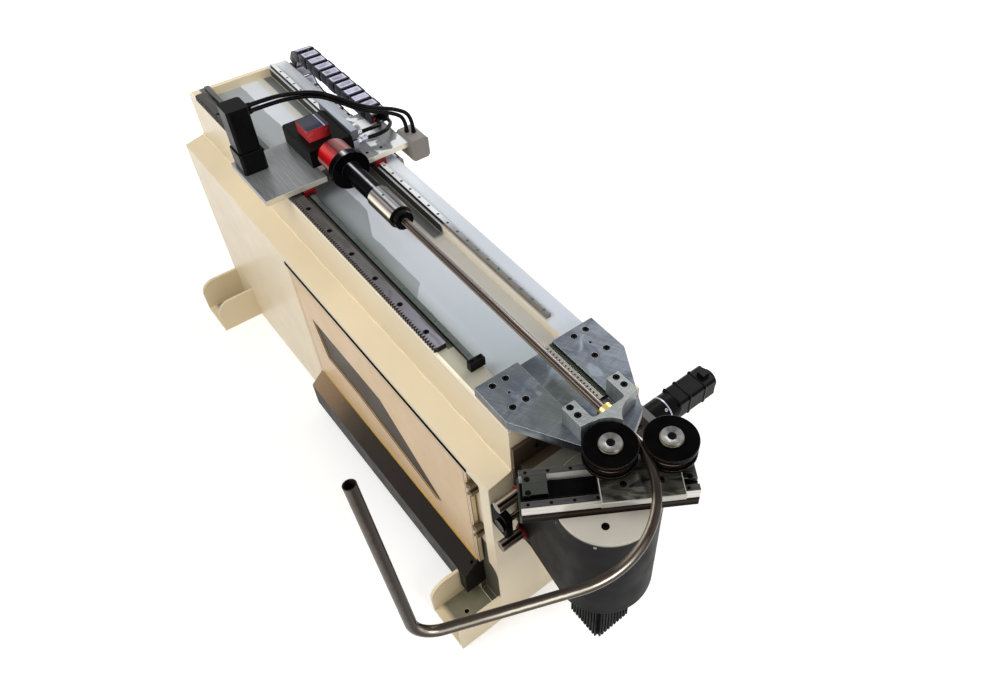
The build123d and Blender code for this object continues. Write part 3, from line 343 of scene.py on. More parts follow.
def painted_chuck_shade(m):
    """1 behind the chuck's front end, where the far rail, the far tray wall and the tray carry painted shade.
    """
    return m.ramp(m.x, CHUCK_SHADE_END, CHUCK_SHADE_END + CHUCK_SHADE_FADE, 1.0, 0.0)


def bed_paint():
    """Cream sides, a grey tray floor, a dark olive strip by the near rail and a far ledge; painted highlights
    on the near lip, painted shadows on the tray and a painted reflection on the far ledge.
    """
    m = Maker("bed_paint", 0.0, 0.45, 0.10)
    behind = painted_chuck_shade(m)
    rear = m.tones(m.soft(5.0, 4.0, distort=0.4), TRAY, 0.94, 1.03)
    floor = m.mix(m.ramp(m.x, -0.2, 0.9), rear, (160, 170, 176))
    grain = m.ramp(m.noise(520.0, 2.0), 0.35, 0.7)
    floor = m.mix(m.times(grain, 0.25), floor, shade(TRAY, 0.80))
    # Painted shadow of the near rail and bed edge on the tray floor, with a wavy edge
    limit = m.plus(m.ramp(m.x, -0.03, 0.11, -0.010, -0.066), m.ramp(m.x, 0.41, 0.48, 0.0, -0.060))
    limit = m.plus(limit, m.soft(9.0, 2.0, -0.004, 0.004))
    dim = m.ramp(m.minus(limit, m.y), 0.0, 0.003)
    floor = m.mix(m.times(dim, 0.85), floor, (136, 142, 144))
    # Painted light: a paler strip of tray beyond the tube
    floor = m.mix(m.ramp(m.y, 0.055, 0.065), floor, (202, 200, 192))
    # Painted shade of the chuck on the tray's far strip
    floor = m.mix(m.times(behind, m.ramp(m.y, 0.088, 0.094)), floor, (100, 103, 99))
    channel = m.times(between_ends(m), m.inside(m.y, -TRAY_HALF, TRAY_HALF))
    outside = m.below(m.y, LIP_Y)
    # Painted highlight along the bed's near top lip, with a band of painted shade under it
    side = m.mix(m.times(outside, m.above(m.z, LIP_LOW)), m.clouds(CREAM), BED_HIGHLIGHT)
    side = m.mix(m.times(outside, m.inside(m.z, LIP_SHADE_LOW, LIP_LOW)), side, shade(CREAM, 0.80))
    tone = m.mix(m.times(channel, m.below(m.z, TRAY_LEVEL)), side, floor)
    # Far tray wall: a painted highlight in front, painted shade beside the chuck
    inner = m.times(m.ramp(m.toward((0, -1, 0)), 0.7, 0.8), m.inside(m.y, 0.10, 0.20))
    tone = m.mix(inner, tone, m.mix(behind, BED_HIGHLIGHT, (38, 38, 34)))
    top = m.above(m.z, BED_TOP)
    bare = m.times(m.inside(m.y, LIP_Y, STRIP_FAR), m.above(m.x, BARE_REAR))
    tone = m.mix(m.times(bare, top), tone, m.tones(m.soft(6.0, 3.0), (176, 171, 153), 0.80, 1.06))
    strip = m.times(m.inside(m.y, STRIP_NEAR, STRIP_FAR), m.below(m.x, STRIP_FRONT))
    lines = m.ramp(m.noise(10.0, 3.0, (1, 60, 1)), 0.35, 0.65)
    tone = m.mix(m.times(strip, top), tone, m.tones(lines, (84, 84, 72), 0.75, 1.3))
    # Far ledge top: a painted reflection in streaks, greying toward the front
    streaks = m.ramp(m.noise(6.0, 4.0, (1, 5, 1)), 0.35, 0.65)
    ledge = m.mix(m.ramp(m.x, -0.1, 0.35), FAR_LEDGE_REFLECTION, (186, 192, 202))
    bright = m.mix(m.times(streaks, 0.5), ledge, shade(FAR_LEDGE_REFLECTION, 0.75))
    tone = m.mix(m.times(m.above(m.y, TRAY_HALF), top), tone, bright)
    return finish_paint(m, tone, 0.34, CREAM_EDGE_HIGHLIGHT, 0.006, 0.7)


HEAD_PLATE_LOW = 1.0278


def head_paint():
    """Anthracite drum whose flat top plate carries painted shade, a greener grey."""
    m = Maker("head_paint", 0.0, 0.03)
    top = m.above(m.z, HEAD_PLATE_LOW)
    # Painted shade on the flat top plate
    tone = m.mix(top, m.clouds(ANTHRACITE, 0.1), m.clouds(HEAD_TOP_SHADE, 0.1, 4.0))
    return finish_paint(m, tone, 0.42, shade(ANTHRACITE, 1.9), 0.003, 0.5)


def roller_plate_look():
    """Polished dark plate with painted cloudy reflections and painted highlights on its bevelled sides."""
    m = Maker("roller_plate_look", 0.4, 0.2)
    cloud = m.noise(9.0, 4.0, (1, 3, 1), ARM_ANGLE, 0.9)
    dark = m.bands(cloud, [(0.30, 18, 16, 14), (0.46, 44, 42, 37), (0.56, 92, 90, 82), (0.64, 60, 58, 52),
                           (0.74, 28, 25, 22)])
    # Painted highlight on the side faces
    tone = m.mix(m.ramp(m.toward(UP), 0.97, 0.90), dark, (176, 172, 164))
    edge_wear_and_highlight = m.edge_wear_and_highlight(tone, (232, 232, 226), 0.001, 0.8)
    return m.surface(edge_wear_and_highlight, cloud, (0.3, 0.7, 0.10, 0.20), m.noise(260.0, 2.0), 0.03)


def across_arm(m):
    """Distance from the arm's middle line, positive on its far side."""
    along_x = m.times(m.minus(m.x, DRUM.x), -math.sin(ARM_ANGLE))
    along_y = m.times(m.minus(m.y, DRUM.y), math.cos(ARM_ANGLE))
    return m.plus(along_x, along_y)


def arm_rail_look():
    """Ground module rails, dark on top, with painted highlights on the sides toward the near edge."""
    m = Maker("module_rail_look", 0.3, 0.15)
    lines = m.soft(12.0, 4.0, stretch=(1, 40, 40), turn=ARM_ANGLE)
    dark = m.mix(lines, (54, 54, 52), (78, 78, 76))
    # Painted highlights on the sides facing the near edge, brightest on the far rail
    near = m.mix(lines, (200, 194, 185), (236, 230, 220))
    bright = m.mix(m.above(across_arm(m), 0.0), near, (255, 252, 244))
    tone = m.mix(m.ramp(m.toward(ARM_NEAR), 0.5, 0.6), dark, bright)
    edge_wear_and_highlight = m.edge_wear_and_highlight(tone, (214, 212, 206), 0.001, 0.7)
    return m.surface(edge_wear_and_highlight, lines, (0.0, 1.0, 0.16, 0.30), lines, 0.06)


def disc_look():
    """Off-white turntable with painted shade, a dim green grey, where it lies behind the slide module."""
    m = Maker("off_white_paint", 0.0, 0.4)
    # Painted shade behind the slide module
    tone = m.mix(m.ramp(across_arm(m), 0.0, 0.01), m.clouds(OFF_WHITE), shade(HEAD_TOP_SHADE, 0.9))
    return finish_paint(m, tone, 0.40, shade(OFF_WHITE, 1.45), 0.004, 0.7)


MODULE_LOW = 1.040
MODULE_HIGH = 1.096


def module_black_look():
    """Glossy black profile with painted brown reflections in bands along its sides."""
    m = Maker("module_black", 0.0, 0.015)
    height = m.ramp(m.z, MODULE_LOW, MODULE_HIGH)
    side = m.bands(height, [(0.0, 12, 10, 9), (0.22, 26, 21, 18), (0.36, 64, 50, 41), (0.50, 32, 25, 21),
                            (0.66, 10, 9, 8), (1.0, 16, 15, 15)])
    top = m.mix(m.soft(30.0), (6, 6, 6), (12, 11, 11))
    edge_wear_and_highlight = m.edge_wear_and_highlight(m.mix(m.ramp(m.toward(UP), 0.5, 0.6), side, top), (110, 104, 98), 0.0012, 0.6)
    return m.surface(edge_wear_and_highlight, m.noise(20.0), (0.3, 0.7, 0.22, 0.34), m.noise(300.0, 2.0), 0.03)


# Painted reflections on round polished pieces, as streaks: a place from 0 to 1, then the colour there
TUBE_STOPS = [(0.0, 50, 40, 32), (0.12, 62, 48, 35), (0.22, 82, 66, 48), (0.28, 196, 178, 152),
              (0.36, 174, 155, 130), (0.42, 68, 55, 41), (0.52, 62, 51, 42), (0.60, 110, 100, 92),
              (0.68, 52, 44, 40), (0.75, 18, 12, 11), (0.82, 118, 108, 105), (0.92, 128, 117, 112),
              (1.0, 88, 78, 70)]
RAISED_STOPS = [(0.14, 90, 80, 70), (0.22, 34, 26, 18), (0.44, 40, 30, 24), (0.56, 66, 56, 50),
                (0.72, 64, 54, 46), (0.80, 72, 62, 52), (0.88, 48, 38, 27)]
BEND_STOPS = [(0.0, 96, 84, 72), (0.10, 124, 108, 93), (0.17, 194, 180, 162), (0.26, 188, 174, 158),
              (0.34, 84, 72, 60), (0.45, 44, 35, 28), (0.60, 50, 44, 37), (0.72, 62, 56, 49),
              (1.0, 56, 48, 42)]
RUN_STOPS = [(0.0, 60, 52, 48), (0.10, 36, 28, 26), (0.25, 44, 35, 32), (0.38, 64, 54, 46),
             (0.48, 110, 100, 86), (0.56, 252, 246, 230), (0.66, 246, 238, 222), (0.74, 120, 108, 92),
             (0.85, 66, 56, 42), (1.0, 60, 50, 38)]
ROD_STOPS = [(0.0, 206, 192, 174), (0.07, 150, 138, 122), (0.15, 72, 60, 48), (0.32, 80, 68, 56),
             (0.40, 90, 78, 66), (0.46, 140, 128, 114), (0.53, 60, 50, 40), (0.61, 15, 8, 4),
             (0.70, 18, 11, 6), (0.78, 90, 78, 64), (0.86, 200, 188, 170), (0.93, 140, 128, 110),
             (1.0, 36, 26, 16)]
SLEEVE_STOPS = [(0.10, 40, 28, 16), (0.29, 60, 46, 32), (0.34, 154, 138, 121), (0.39, 226, 213, 194),
                (0.44, 254, 247, 232), (0.48, 246, 240, 224), (0.53, 200, 190, 175), (0.56, 160, 149, 138),
                (0.60, 106, 96, 88), (0.64, 158, 150, 147), (0.67, 150, 146, 147), (0.70, 74, 72, 75),
                (0.73, 70, 69, 74), (0.79, 208, 208, 212), (0.815, 150, 150, 154), (0.84, 126, 126, 128),
                (0.862, 172, 171, 174), (0.885, 56, 55, 56), (0.92, 108, 107, 102)]
RING_STOPS = [(0.0, 40, 4, 8), (0.18, 112, 30, 32), (0.29, 190, 130, 124), (0.36, 140, 12, 10),
              (0.50, 196, 15, 21), (0.63, 212, 72, 73), (0.77, 84, 6, 6), (0.90, 150, 104, 102),
              (1.0, 136, 112, 108)]
CHUCK_STOPS = [(0.0, 7, 6, 7), (0.70, 9, 9, 12), (0.755, 26, 25, 32), (0.785, 150, 150, 156),
               (0.81, 240, 240, 244), (0.835, 120, 120, 126), (0.86, 26, 26, 30), (0.93, 12, 12, 14)]
TUBE_SHADE = (32, 27, 23)
RUN_SIDES = [(0.656, 0.749, 0.094), (0.928, 0.0, -0.373), (0.80, -0.34, -0.48)]
ROLLER_GLINT_WAY = (0.956, -0.292, 0.0)


def across_run(m):
    """Place across the tube's bent run, from its inner to its outer side, as the run turns."""
    first, second, third = [m.toward(way) for way in RUN_SIDES]
    turn = m.times(m.ramp(m.y, -0.29, -0.09, 1.0, 0.0), m.minus(second, first))
    settle = m.times(m.ramp(m.y, -0.50, -0.29, 1.0, 0.0), m.minus(third, second))
    return m.ramp(m.plus(first, m.plus(turn, settle)), -1.0, 1.0)


def tube_look():
    """Drawn steel tube with painted reflections as long streaks, a bright one along the bent run and brown
    ones on the raised end, and painted shade beyond the guide block and near the rollers.
    """
    m = Maker("tube_steel", 0.55, 0.2)
    lines = m.noise(14.0, 4.0, (1, 6, 6))
    place = m.waver(m.ramp(m.toward(AWAY_UP), -1.0, 1.0), lines)
    # Painted shade on the fed run beyond the guide block
    fed = m.mix(m.ramp(m.x, 1.28, 1.33, 0.0, 0.9), m.bands(place, TUBE_STOPS), TUBE_SHADE)
    side = m.waver(across_run(m), lines)
    # The painted bright streak fades along part of the run
    faint = m.most(m.ramp(m.y, -0.42, -0.36, 0.0, 0.5), m.ramp(m.y, -0.60, -0.54, 0.5, 0.0))
    run = m.mix(faint, m.bands(side, RUN_STOPS), (64, 54, 45))
    streak = m.mix(m.ramp(m.y, -0.30, -0.17, 1.0, 0.0), m.bands(side, BEND_STOPS), run)
    # Painted shade on the bent run by the rollers
    bent = m.mix(m.ramp(m.y, -0.10, -0.075, 0.0, 0.9), streak, TUBE_SHADE)
    low = m.mix(m.ramp(m.y, -0.06, -0.02, 1.0, 0.0), fed, bent)
    tone = m.mix(m.ramp(m.z, 1.19, 1.26), low, m.bands(place, RAISED_STOPS))
    dirty = m.mix(m.ramp(m.noise(60.0, 4.0, distort=0.5), 0.60, 0.78, 0.0, 0.3), tone, DIRT)
    return m.surface(dirty, lines, (0.25, 0.75, 0.16, 0.28), lines, 0.04)


def chuck_look():
    """Blackened chuck, nearly mirror smooth, with one painted highlight streak along its top."""
    m = Maker("chuck_black", 0.0, 0.02)
    lines = m.noise(14.0, 4.0, (1, 30, 30))
    streak = m.bands(m.waver(m.ramp(m.toward(AWAY_UP), -1.0, 1.0), lines, 0.008), CHUCK_STOPS)
    tone = m.mix(m.ramp(m.noise(30.0), 0.35, 0.7, 0.0, 0.4), streak, (10, 9, 10))
    edge_wear_and_highlight = m.edge_wear_and_highlight(tone, (120, 116, 114), 0.0012, 0.7)
    return m.surface(edge_wear_and_highlight, lines, (0.25, 0.75, 0.12, 0.2), lines, 0.03)


def roller_look():
    """Hardened black roller with dim sides and painted glints, bright turned arcs, on its front near side."""
    m = Maker("roller_black", 0.0, 0.012)
    face = m.mix(m.ramp(m.noise(22.0, 3.0), 0.35, 0.7), (3, 3, 3), (8, 7, 8))
    side = m.mix(m.soft(30.0, 3.0, stretch=(1, 1, 6)), (9, 7, 6), (26, 21, 18))
    upward = m.toward(UP)
    # Painted glints on the side facing front and near
    glint_side = m.ramp(m.toward(ROLLER_GLINT_WAY), 0.25, 0.60)
    side = m.mix(m.times(m.inside(upward, 0.34, 0.56), glint_side), side, (150, 130, 110))
    tone = m.mix(m.ramp(upward, 0.85, 0.95), side, face)
    edge_wear_and_highlight = m.edge_wear_and_highlight(tone, (158, 148, 136), 0.0011, m.plus(m.times(glint_side, 0.7), 0.3))
    return m.surface(edge_wear_and_highlight, m.noise(40.0, 2.0), (0.3, 0.7, 0.14, 0.24), m.noise(300.0, 2.0), 0.03)


def cover_look():
    """Red block with painted shade toward its far end, small painted glints, and a glossy black top with a
    painted blue reflection.
    """
    m = Maker("red_cover", 0.0, 0.3)
    # Painted shade: the red face darkens toward its far end
    face = m.bands(m.ramp(m.y, -0.058, 0.028),
                   [(0.0, 206, 66, 68), (0.55, 190, 48, 52), (0.85, 124, 20, 24), (1.0, 66, 6, 8)])
    # Painted glints: small pale patches on the red face
    face = m.mix(m.ramp(m.noise(34.0, 2.0, distort=0.5), 0.66, 0.72, 0.0, 0.5), face, (226, 120, 116))
    # Black top with a painted blue reflection
    blue = m.mix(m.soft(12.0), (30, 30, 46), (52, 52, 72))
    top = m.mix(m.inside(m.y, 0.010, 0.015), blue, (170, 168, 190))
    edge_wear_and_highlight = m.edge_wear_and_highlight(m.mix(m.ramp(m.toward(UP), 0.6, 0.7), face, top), (206, 90, 90), 0.0014, 0.5)
    return m.surface(edge_wear_and_highlight, m.noise(20.0), (0.3, 0.7, 0.16, 0.28), m.noise(300.0, 2.0), 0.03)


def window_look():
    """Smoked window: smooth brown, a little paler toward the rear."""
    m = Maker("smoked_window", 0.0, 0.05)
    tone = m.bands(m.ramp(m.x, -0.2, 0.7), [(0.0, 78, 66, 55), (1.0, 63, 54, 41)])
    cloudy = m.mix(m.soft(5.0, 2.0, 0.0, 0.4), tone, (60, 52, 44))
    edge_wear_and_highlight = m.edge_wear_and_highlight(cloudy, (120, 106, 90), 0.002, 0.5)
    return m.surface(edge_wear_and_highlight, m.noise(8.0), (0.3, 0.7, 0.34, 0.42), m.noise(60.0, 1.0), 0.01, 0.0001)


def skirt_look():
    """Dark skirt whose sloping top carries a painted reflection that turns to a grainy gold brown toward the
    rear.
    """
    m = Maker("skirt_paint", 0.0, 0.10)
    # Painted gold-brown reflection on the sloping top
    gold = m.bands(m.ramp(m.x, -0.19, 0.96),
                   [(0.0, 170, 142, 112), (0.13, 140, 116, 92), (0.24, 84, 73, 60), (0.355, 54, 47, 41),
                    (0.61, 38, 33, 31), (0.87, 31, 28, 27)])
    grainy = m.mix(m.ramp(m.noise(420.0, 2.0), 0.4, 0.7, 0.0, 0.5), gold, (48, 40, 33))
    plain = m.mix(m.noise(6.0), (24, 22, 21), (31, 28, 27))
    tone = m.mix(m.ramp(m.toward(UP), 0.1, 0.3), plain, grainy)
    return finish_paint(m, tone, 0.46, (70, 62, 54), 0.002, 0.5)


def rack_look():
    """Ground rack: a painted violet reflection makes it pale in front; darker brown behind, with oily patches
    and dark teeth.
    """
    m = Maker("rack_metal", 0.5, 0.2)
    lines = m.soft(12.0, 4.0, 0.0, 0.35, stretch=(1, 40, 40))
    # Painted violet reflection, pale in front, into darker brown behind
    along = m.bands(m.ramp(m.x, -0.4, 0.72),
                    [(0.0, 54, 51, 46), (0.40, 70, 67, 62), (0.70, 95, 92, 93), (1.0, 138, 138, 151)])
    oily = m.ramp(m.noise(11.0, 3.0, (1, 3, 1), distort=0.8), 0.52, 0.60, 0.0, 0.35)
    top = m.mix(oily, m.mix(lines, along, (126, 123, 124)), (58, 54, 52))
    tone = m.mix(m.ramp(m.toward(UP), 0.7, 0.8), (38, 30, 25), top)
    edge_wear_and_highlight = m.edge_wear_and_highlight(tone, (206, 202, 198), 0.0008, 0.6)
    return m.surface(edge_wear_and_highlight, lines, (0.0, 0.35, 0.34, 0.44), lines, 0.08)


def far_rail_look():
    """Rail top with a painted reflection of a white room at the rear, greying toward the front."""
    m = Maker("rail_far", 0.6, 0.3)
    lines = m.soft(12.0, 4.0, 0.0, 0.4, stretch=(1, 60, 60))
    along = m.bands(m.ramp(m.x, -0.2, 0.75),
                    [(0.0, 248, 249, 250), (0.42, 240, 242, 244), (0.52, 160, 162, 166),
                     (0.64, 122, 122, 122), (1.0, 106, 106, 108)])
    tone = m.mix(lines, along, (120, 122, 120))
    return m.surface(tone, lines, (0.0, 0.4, 0.20, 0.34), lines, 0.06)


def rail_side_look():
    """Far rail's side: warm grey in front, with painted shade beside the chuck."""
    m = Maker("rail_side", 0.3, 0.15)
    lines = m.soft(12.0, 4.0, stretch=(1, 40, 40))
    warm = m.mix(lines, (120, 102, 80), (158, 138, 112))
    tone = m.mix(painted_chuck_shade(m), warm, (30, 30, 28))
    return m.surface(tone, lines, (0.0, 1.0, 0.22, 0.34), lines, 0.06)


DOOR_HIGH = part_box("door_leaf")[1].z
DOOR_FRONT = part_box("door_leaf")[1].x
DOOR_BORDER = 0.020
DOOR_LINE = 0.0024
GROOVE_NEAR = -0.3014
GROOVE_FAR = -0.2985


def door_look():
    """Pinkish cream door with a dark groove round its panel; the paler border is painted light."""
    m = Maker("door_paint", 0.0, 0.3, 0.06)
    inner, outer = [m.times(m.below(m.z, DOOR_HIGH - back), m.below(m.x, DOOR_FRONT - back))
                    for back in (DOOR_BORDER, DOOR_BORDER + DOOR_LINE)]
    dark = m.most(m.inside(m.y, GROOVE_NEAR, GROOVE_FAR), m.minus(inner, outer))
    # Paler border of the door: painted light
    paint_tone = m.mix(inner, m.clouds((214, 194, 158)), m.clouds((216, 183, 138)))
    return finish_paint(m, m.mix(dark, paint_tone, (128, 100, 72)), 0.34, (250, 232, 202), 0.003, 0.7)


def plate_look():
    """Milled carriage plate with painted reflections as pale patches toward the end box, and painted
    highlights on its front faces.
    """
    m = Maker("plate_metal", 0.6, 0.3)
    lines = m.soft(12.0, 4.0, stretch=(1, 25, 25))
    grey = m.mix(lines, (122, 124, 125), (150, 152, 152))
    # Painted reflections: pale patches toward the end box
    reflection_patch = m.times(m.inside(m.y, 0.145, 0.300), m.ramp(m.noise(9.0, 2.0, distort=0.8), 0.50, 0.54))
    top = m.mix(reflection_patch, grey, (236, 238, 240))
    # Painted highlight on the front faces
    tone = m.mix(m.ramp(m.toward((1, 0, 0)), 0.5, 0.6), top, (222, 216, 198))
    edge_wear_and_highlight = m.edge_wear_and_highlight(tone, (238, 234, 222), 0.0012, 0.6)
    return m.surface(edge_wear_and_highlight, lines, (0.0, 1.0, 0.28, 0.42), lines, 0.06)


FOOT_PLATE_HIGH = 0.02


def foot_look():
    """Cream foot whose base plate carries painted shade, a greenish grey."""
    m = Maker("foot_paint", 0.0, 0.3)
    # Painted shade on the base plate under the machine, a greenish grey
    plate_shade = m.mix(m.ramp(m.noise(7.0, 4.0), 0.35, 0.65), (118, 116, 96), (148, 143, 119))
    flat = m.times(m.ramp(m.toward(UP), 0.9, 0.95), m.below(m.z, FOOT_PLATE_HIGH))
    tone = m.mix(m.times(flat, m.ramp(m.y, -0.46, -0.44)), m.clouds(CREAM), plate_shade)
    return finish_paint(m, tone, 0.40, CREAM_EDGE_HIGHLIGHT, 0.004, 0.7)


POCKET_DEPTH = (-0.300, -0.270)
POCKET_HEIGHT = (0.0, 0.40)


def cabinet_look():
    """Cream cabinet; the pocket behind the front foot carries painted shade, dim and greenish."""
    m = Maker("cream_paint", 0.0, 0.4, 0.10)
    # Painted shade in the pocket behind the front foot
    pocket = m.times(m.inside(m.y, *POCKET_DEPTH), m.inside(m.z, *POCKET_HEIGHT))
    deep = m.times(pocket, between_ends(m))
    tone = m.mix(deep, m.clouds(CREAM), (84, 82, 68))
    return finish_paint(m, tone, 0.36, CREAM_EDGE_HIGHLIGHT, 0.005, 0.6)


# Looks of the detail pieces; some of the solids wear them too
black_paint = paint("black_paint", (11, 10, 10), 0.30, 0.12, specular=0.06, edge=9.0, edge_radius=0.002)
yellow = paint("yellow_trim", (226, 176, 52), 0.30, 0.10, 0.3, edge=1.4)
# Lighter cream of the bead: painted highlight along the fold
bead_highlight_cream = paint("bead_highlight_cream", (244, 228, 196), 0.30, 0.06, 0.2, edge=1.1)
rail_near = brushed("rail_near", (94, 98, 96), 0.26, (1, 60, 60), cloud=0.22)
rail_far = far_rail_look()
rail_side = rail_side_look()
# Sides of the near rail in near black: painted shade
near_side = faced_metal("near_rail_side", (10, 10, 9), (20, 19, 17), (0, -1, 0.3))
plate_metal = plate_look()
clamp_metal = brushed("clamp_metal", (150, 152, 152), 0.30, (25, 1, 25))
end_metal = brushed("end_metal", (64, 67, 61), 0.30, (1, 25, 25), turn=ARM_ANGLE, cloud=0.12)
fitting_chrome = brushed("fitting_chrome", (178, 178, 190), 0.34, (1, 30, 1))
hub_steel = turned_metal("hub_steel", (116, 115, 112))
hub_side = brushed("hub_side", (104, 94, 78), 0.24, (1, 1, 40), edge=2.2)
tooth_steel = brushed("tooth_steel", (78, 80, 70), 0.30, (1, 20, 20), 0.3, edge=2.4)
screw_black = brushed("screw_black", (20, 19, 20), 0.36, (20, 20, 1), 0.2, edge=4.0)
black_steel = plastic("black_steel", (8, 7, 7), 0.14, 0.2, 0.05, 200.0, 12.0)
# Near black for bores, sockets, slots and gaps: painted shade on flat discs and strips
hollow_shade = plastic("hollow_shade", (4, 4, 4), 0.6, 0.2, 0.02)
chain_side = plastic("chain_side", (24, 24, 34), 0.36, 0.12, 0.15)
chain_bar = plastic("chain_bar", (66, 64, 80), 0.36, 0.10, 0.3)
chain_panel = plastic("chain_panel", (200, 200, 218), 0.36, 0.22, 0.4)
chain_inset = plastic("chain_inset", (166, 166, 188), 0.34, 0.45, 0.3, 120.0)
cable_red = plastic("cable_red", (160, 40, 40), 0.40)
rubber = plastic("black_rubber", (6, 6, 7), 0.26, 0.15, 0.08)
cap_green = plastic("green_cap", (22, 74, 62), 0.40)

# Each look and the solids that wear it
LOOKS = [
    (bed_paint(), "bed_frame"),
    (cabinet_look(), "cabinet_shell front_base_plate"),
    (foot_look(), "feet"),
    (door_look(), "door_leaf"),
    (skirt_look(), "side_skirt"),
    (window_look(), "door_window"),
    (brushed("hinge_metal", (118, 106, 86), 0.40, (20, 20, 1)), "door_hinges"),
    (rail_near, "linear_rails bearing_blocks"),
    (rack_look(), "feed_rack feed_pinion"),
    (black_paint, "rail_stop shift_gearbox shift_servo spindle_housing feed_gearbox feed_servo"),
    (ground_plate("ground_plate", (102, 107, 114)), "front_plate"),
    (ground_plate("block_metal", (138, 142, 141), 0.2, 0.5), "guide_block"),
    (brushed("brass", (206, 178, 106), 0.24, (30, 1, 1), 0.16), "guide_bush slide_bushings"),
    (brushed("strip_metal", (150, 150, 140), 0.22, (1, 40, 40), 0.3), "notched_strip"),
    (screw_black, "socket_screws"),
    (paint("dark_grey_paint", (80, 67, 54), 0.30, 0.25, specular=0.2, edge=1.6), "cross_slide_bracket"),
    (mirror_bands("chrome", (-0.73, 0, 0.68), ROD_STOPS, 0.10, (30, 1, 30)), "cross_rods shift_screw"),
    (plastic("deep_black", (7, 6, 6), 0.20, 0.2, 0.004, 200.0, 9.0), "screw_bearing_block"),
    (paint("bracket_grey", (100, 102, 102), 0.34, 0.2, specular=0.2, edge=1.3), "shift_bracket"),
    (paint("grey_paint", (126, 122, 118), 0.42, edge=1.3), "chain_trough end_box"),
    (chain_bar, "cable_chain_lower cable_chain_upper cable_chain_loop"),
    (tube_look(), "workpiece_tube"),
    (plate_metal, "carriage_plate"),
    (paint("red_seal", (120, 10, 20), 0.40, 0.10, specular=0.15), "block_seals rod_seals"),
    (cover_look(), "red_block"),
    (mirror_bands("red_anodised", AWAY_UP, RING_STOPS, 0.16, (1, 30, 30), 0.0), "front_ring"),
    # Clamp bar: lighter top and darker sides, as painted light
    (faced_metal("bar_metal", (98, 100, 106), (174, 182, 192), UP, 0.34, 0.7), "clamp_cylinder"),
    (fitting_chrome, "hose_fittings"),
    (rubber, "hoses_cables"),
    (chuck_look(), "chuck_body"),
    (mirror_bands("sleeve_chrome", AWAY_UP, SLEEVE_STOPS, 0.12, (1, 40, 40)), "chuck_sleeve"),
    (black_steel, "collet module_blocks"),
    (head_paint(), "head_housing"),
    (paint("motor_black", (8, 8, 9), 0.40, 0.12, specular=0.02, edge=2.0, edge_radius=0.001), "bend_motor"),
    (disc_look(), "turntable_disc"),
    (module_black_look(), "module_base"),
    (arm_rail_look(), "module_rails"),
    (end_metal, "module_end_block"),
    (roller_plate_look(), "roller_plate"),
    (clamp_metal, "roller_shafts"),
    (roller_look(), "roller_near roller_far"),
    (hub_steel, "hub_near hub_far"),
]
for node_look, node_names in LOOKS:
    for node_name in node_names.split():
        node_mesh = nodes[node_name].data
        node_mesh.materials.clear()
        node_mesh.materials.append(node_look)


# Cords between the housings: the routes of the solids, as smooth curves, each with its length
HOSE_RADIUS = 0.0075
HOSE_ROUTES = {
    "hose_inner": (0.179, [(-0.310, 0.109, 1.184), (-0.310, 0.165, 1.184), (-0.316, 0.215, 1.178),
                           (-0.330, 0.246, 1.165), (-0.370, 0.246, 1.165)]),
    "hose_outer": (0.253, [(-0.264, 0.109, 1.184), (-0.264, 0.145, 1.184), (-0.250, 0.190, 1.188),
                           (-0.262, 0.235, 1.186), (-0.298, 0.268, 1.178), (-0.332, 0.284, 1.165),
                           (-0.370, 0.284, 1.165)]),
    "cable_low": (0.610, [(-0.401, -0.1914, 1.366), (-0.401, -0.120, 1.366), (-0.412, -0.040, 1.352),
                          (-0.400, 0.045, 1.336), (-0.345, 0.095, 1.320), (-0.290, 0.155, 1.286),
                          (-0.272, 0.212, 1.264), (-0.256, 0.262, 1.248), (-0.230, 0.296, 1.228),
                          (-0.230, 0.296, 1.179)]),
    "cable_high": (0.649, [(-0.401, -0.1914, 1.388), (-0.401, -0.120, 1.388), (-0.412, -0.040, 1.370),
                           (-0.396, 0.047, 1.352), (-0.340, 0.098, 1.336), (-0.284, 0.159, 1.303),
                           (-0.264, 0.218, 1.282), (-0.244, 0.274, 1.266), (-0.212, 0.315, 1.243),
                           (-0.212, 0.315, 1.179)]),
}


def make_cord(name, points):
    curve = bpy.data.curves.new(name, "CURVE")
    curve.dimensions = "3D"
    curve.bevel_depth = HOSE_RADIUS
    curve.bevel_resolution = 6
    curve.resolution_u = 16
    curve.use_fill_caps = True
    spline = curve.splines.new("NURBS")
    spline.points.add(len(points) - 1)
    for point, place in zip(spline.points, points):
        point.co = (*place, 1.0)
    spline.order_u = 3
    spline.use_endpoint_u = True
    curve.materials.append(rubber)
    obj = bpy.data.objects.new(name, curve)
    scene.collection.objects.link(obj)
    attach(obj, "carriage")
    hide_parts("hoses_cables")


for cord_name, (cord_length, cord_points) in HOSE_ROUTES.items():
    make_cord(cord_name, cord_points)


# Detail pieces, with the rim of a screw head and the least lift that keeps two faces apart
SCREW_RIM = 0.0008
HAIR = 0.0001


def join(part, rings):
    """Faces between each ring of corners and the next; a ring of one corner is a tip."""
    count = max(len(ring) for ring in rings)
    for lower, upper in zip(rings, rings[1:]):
        for i in range(count):
            j = (i + 1) % count
            corners = [lower[i % len(lower)], lower[j % len(lower)]]
            corners += [upper[j % len(upper)], upper[i % len(upper)]]
            unique = list(dict.fromkeys(corners))
            if len(unique) > 2:
                part.faces.new(unique)


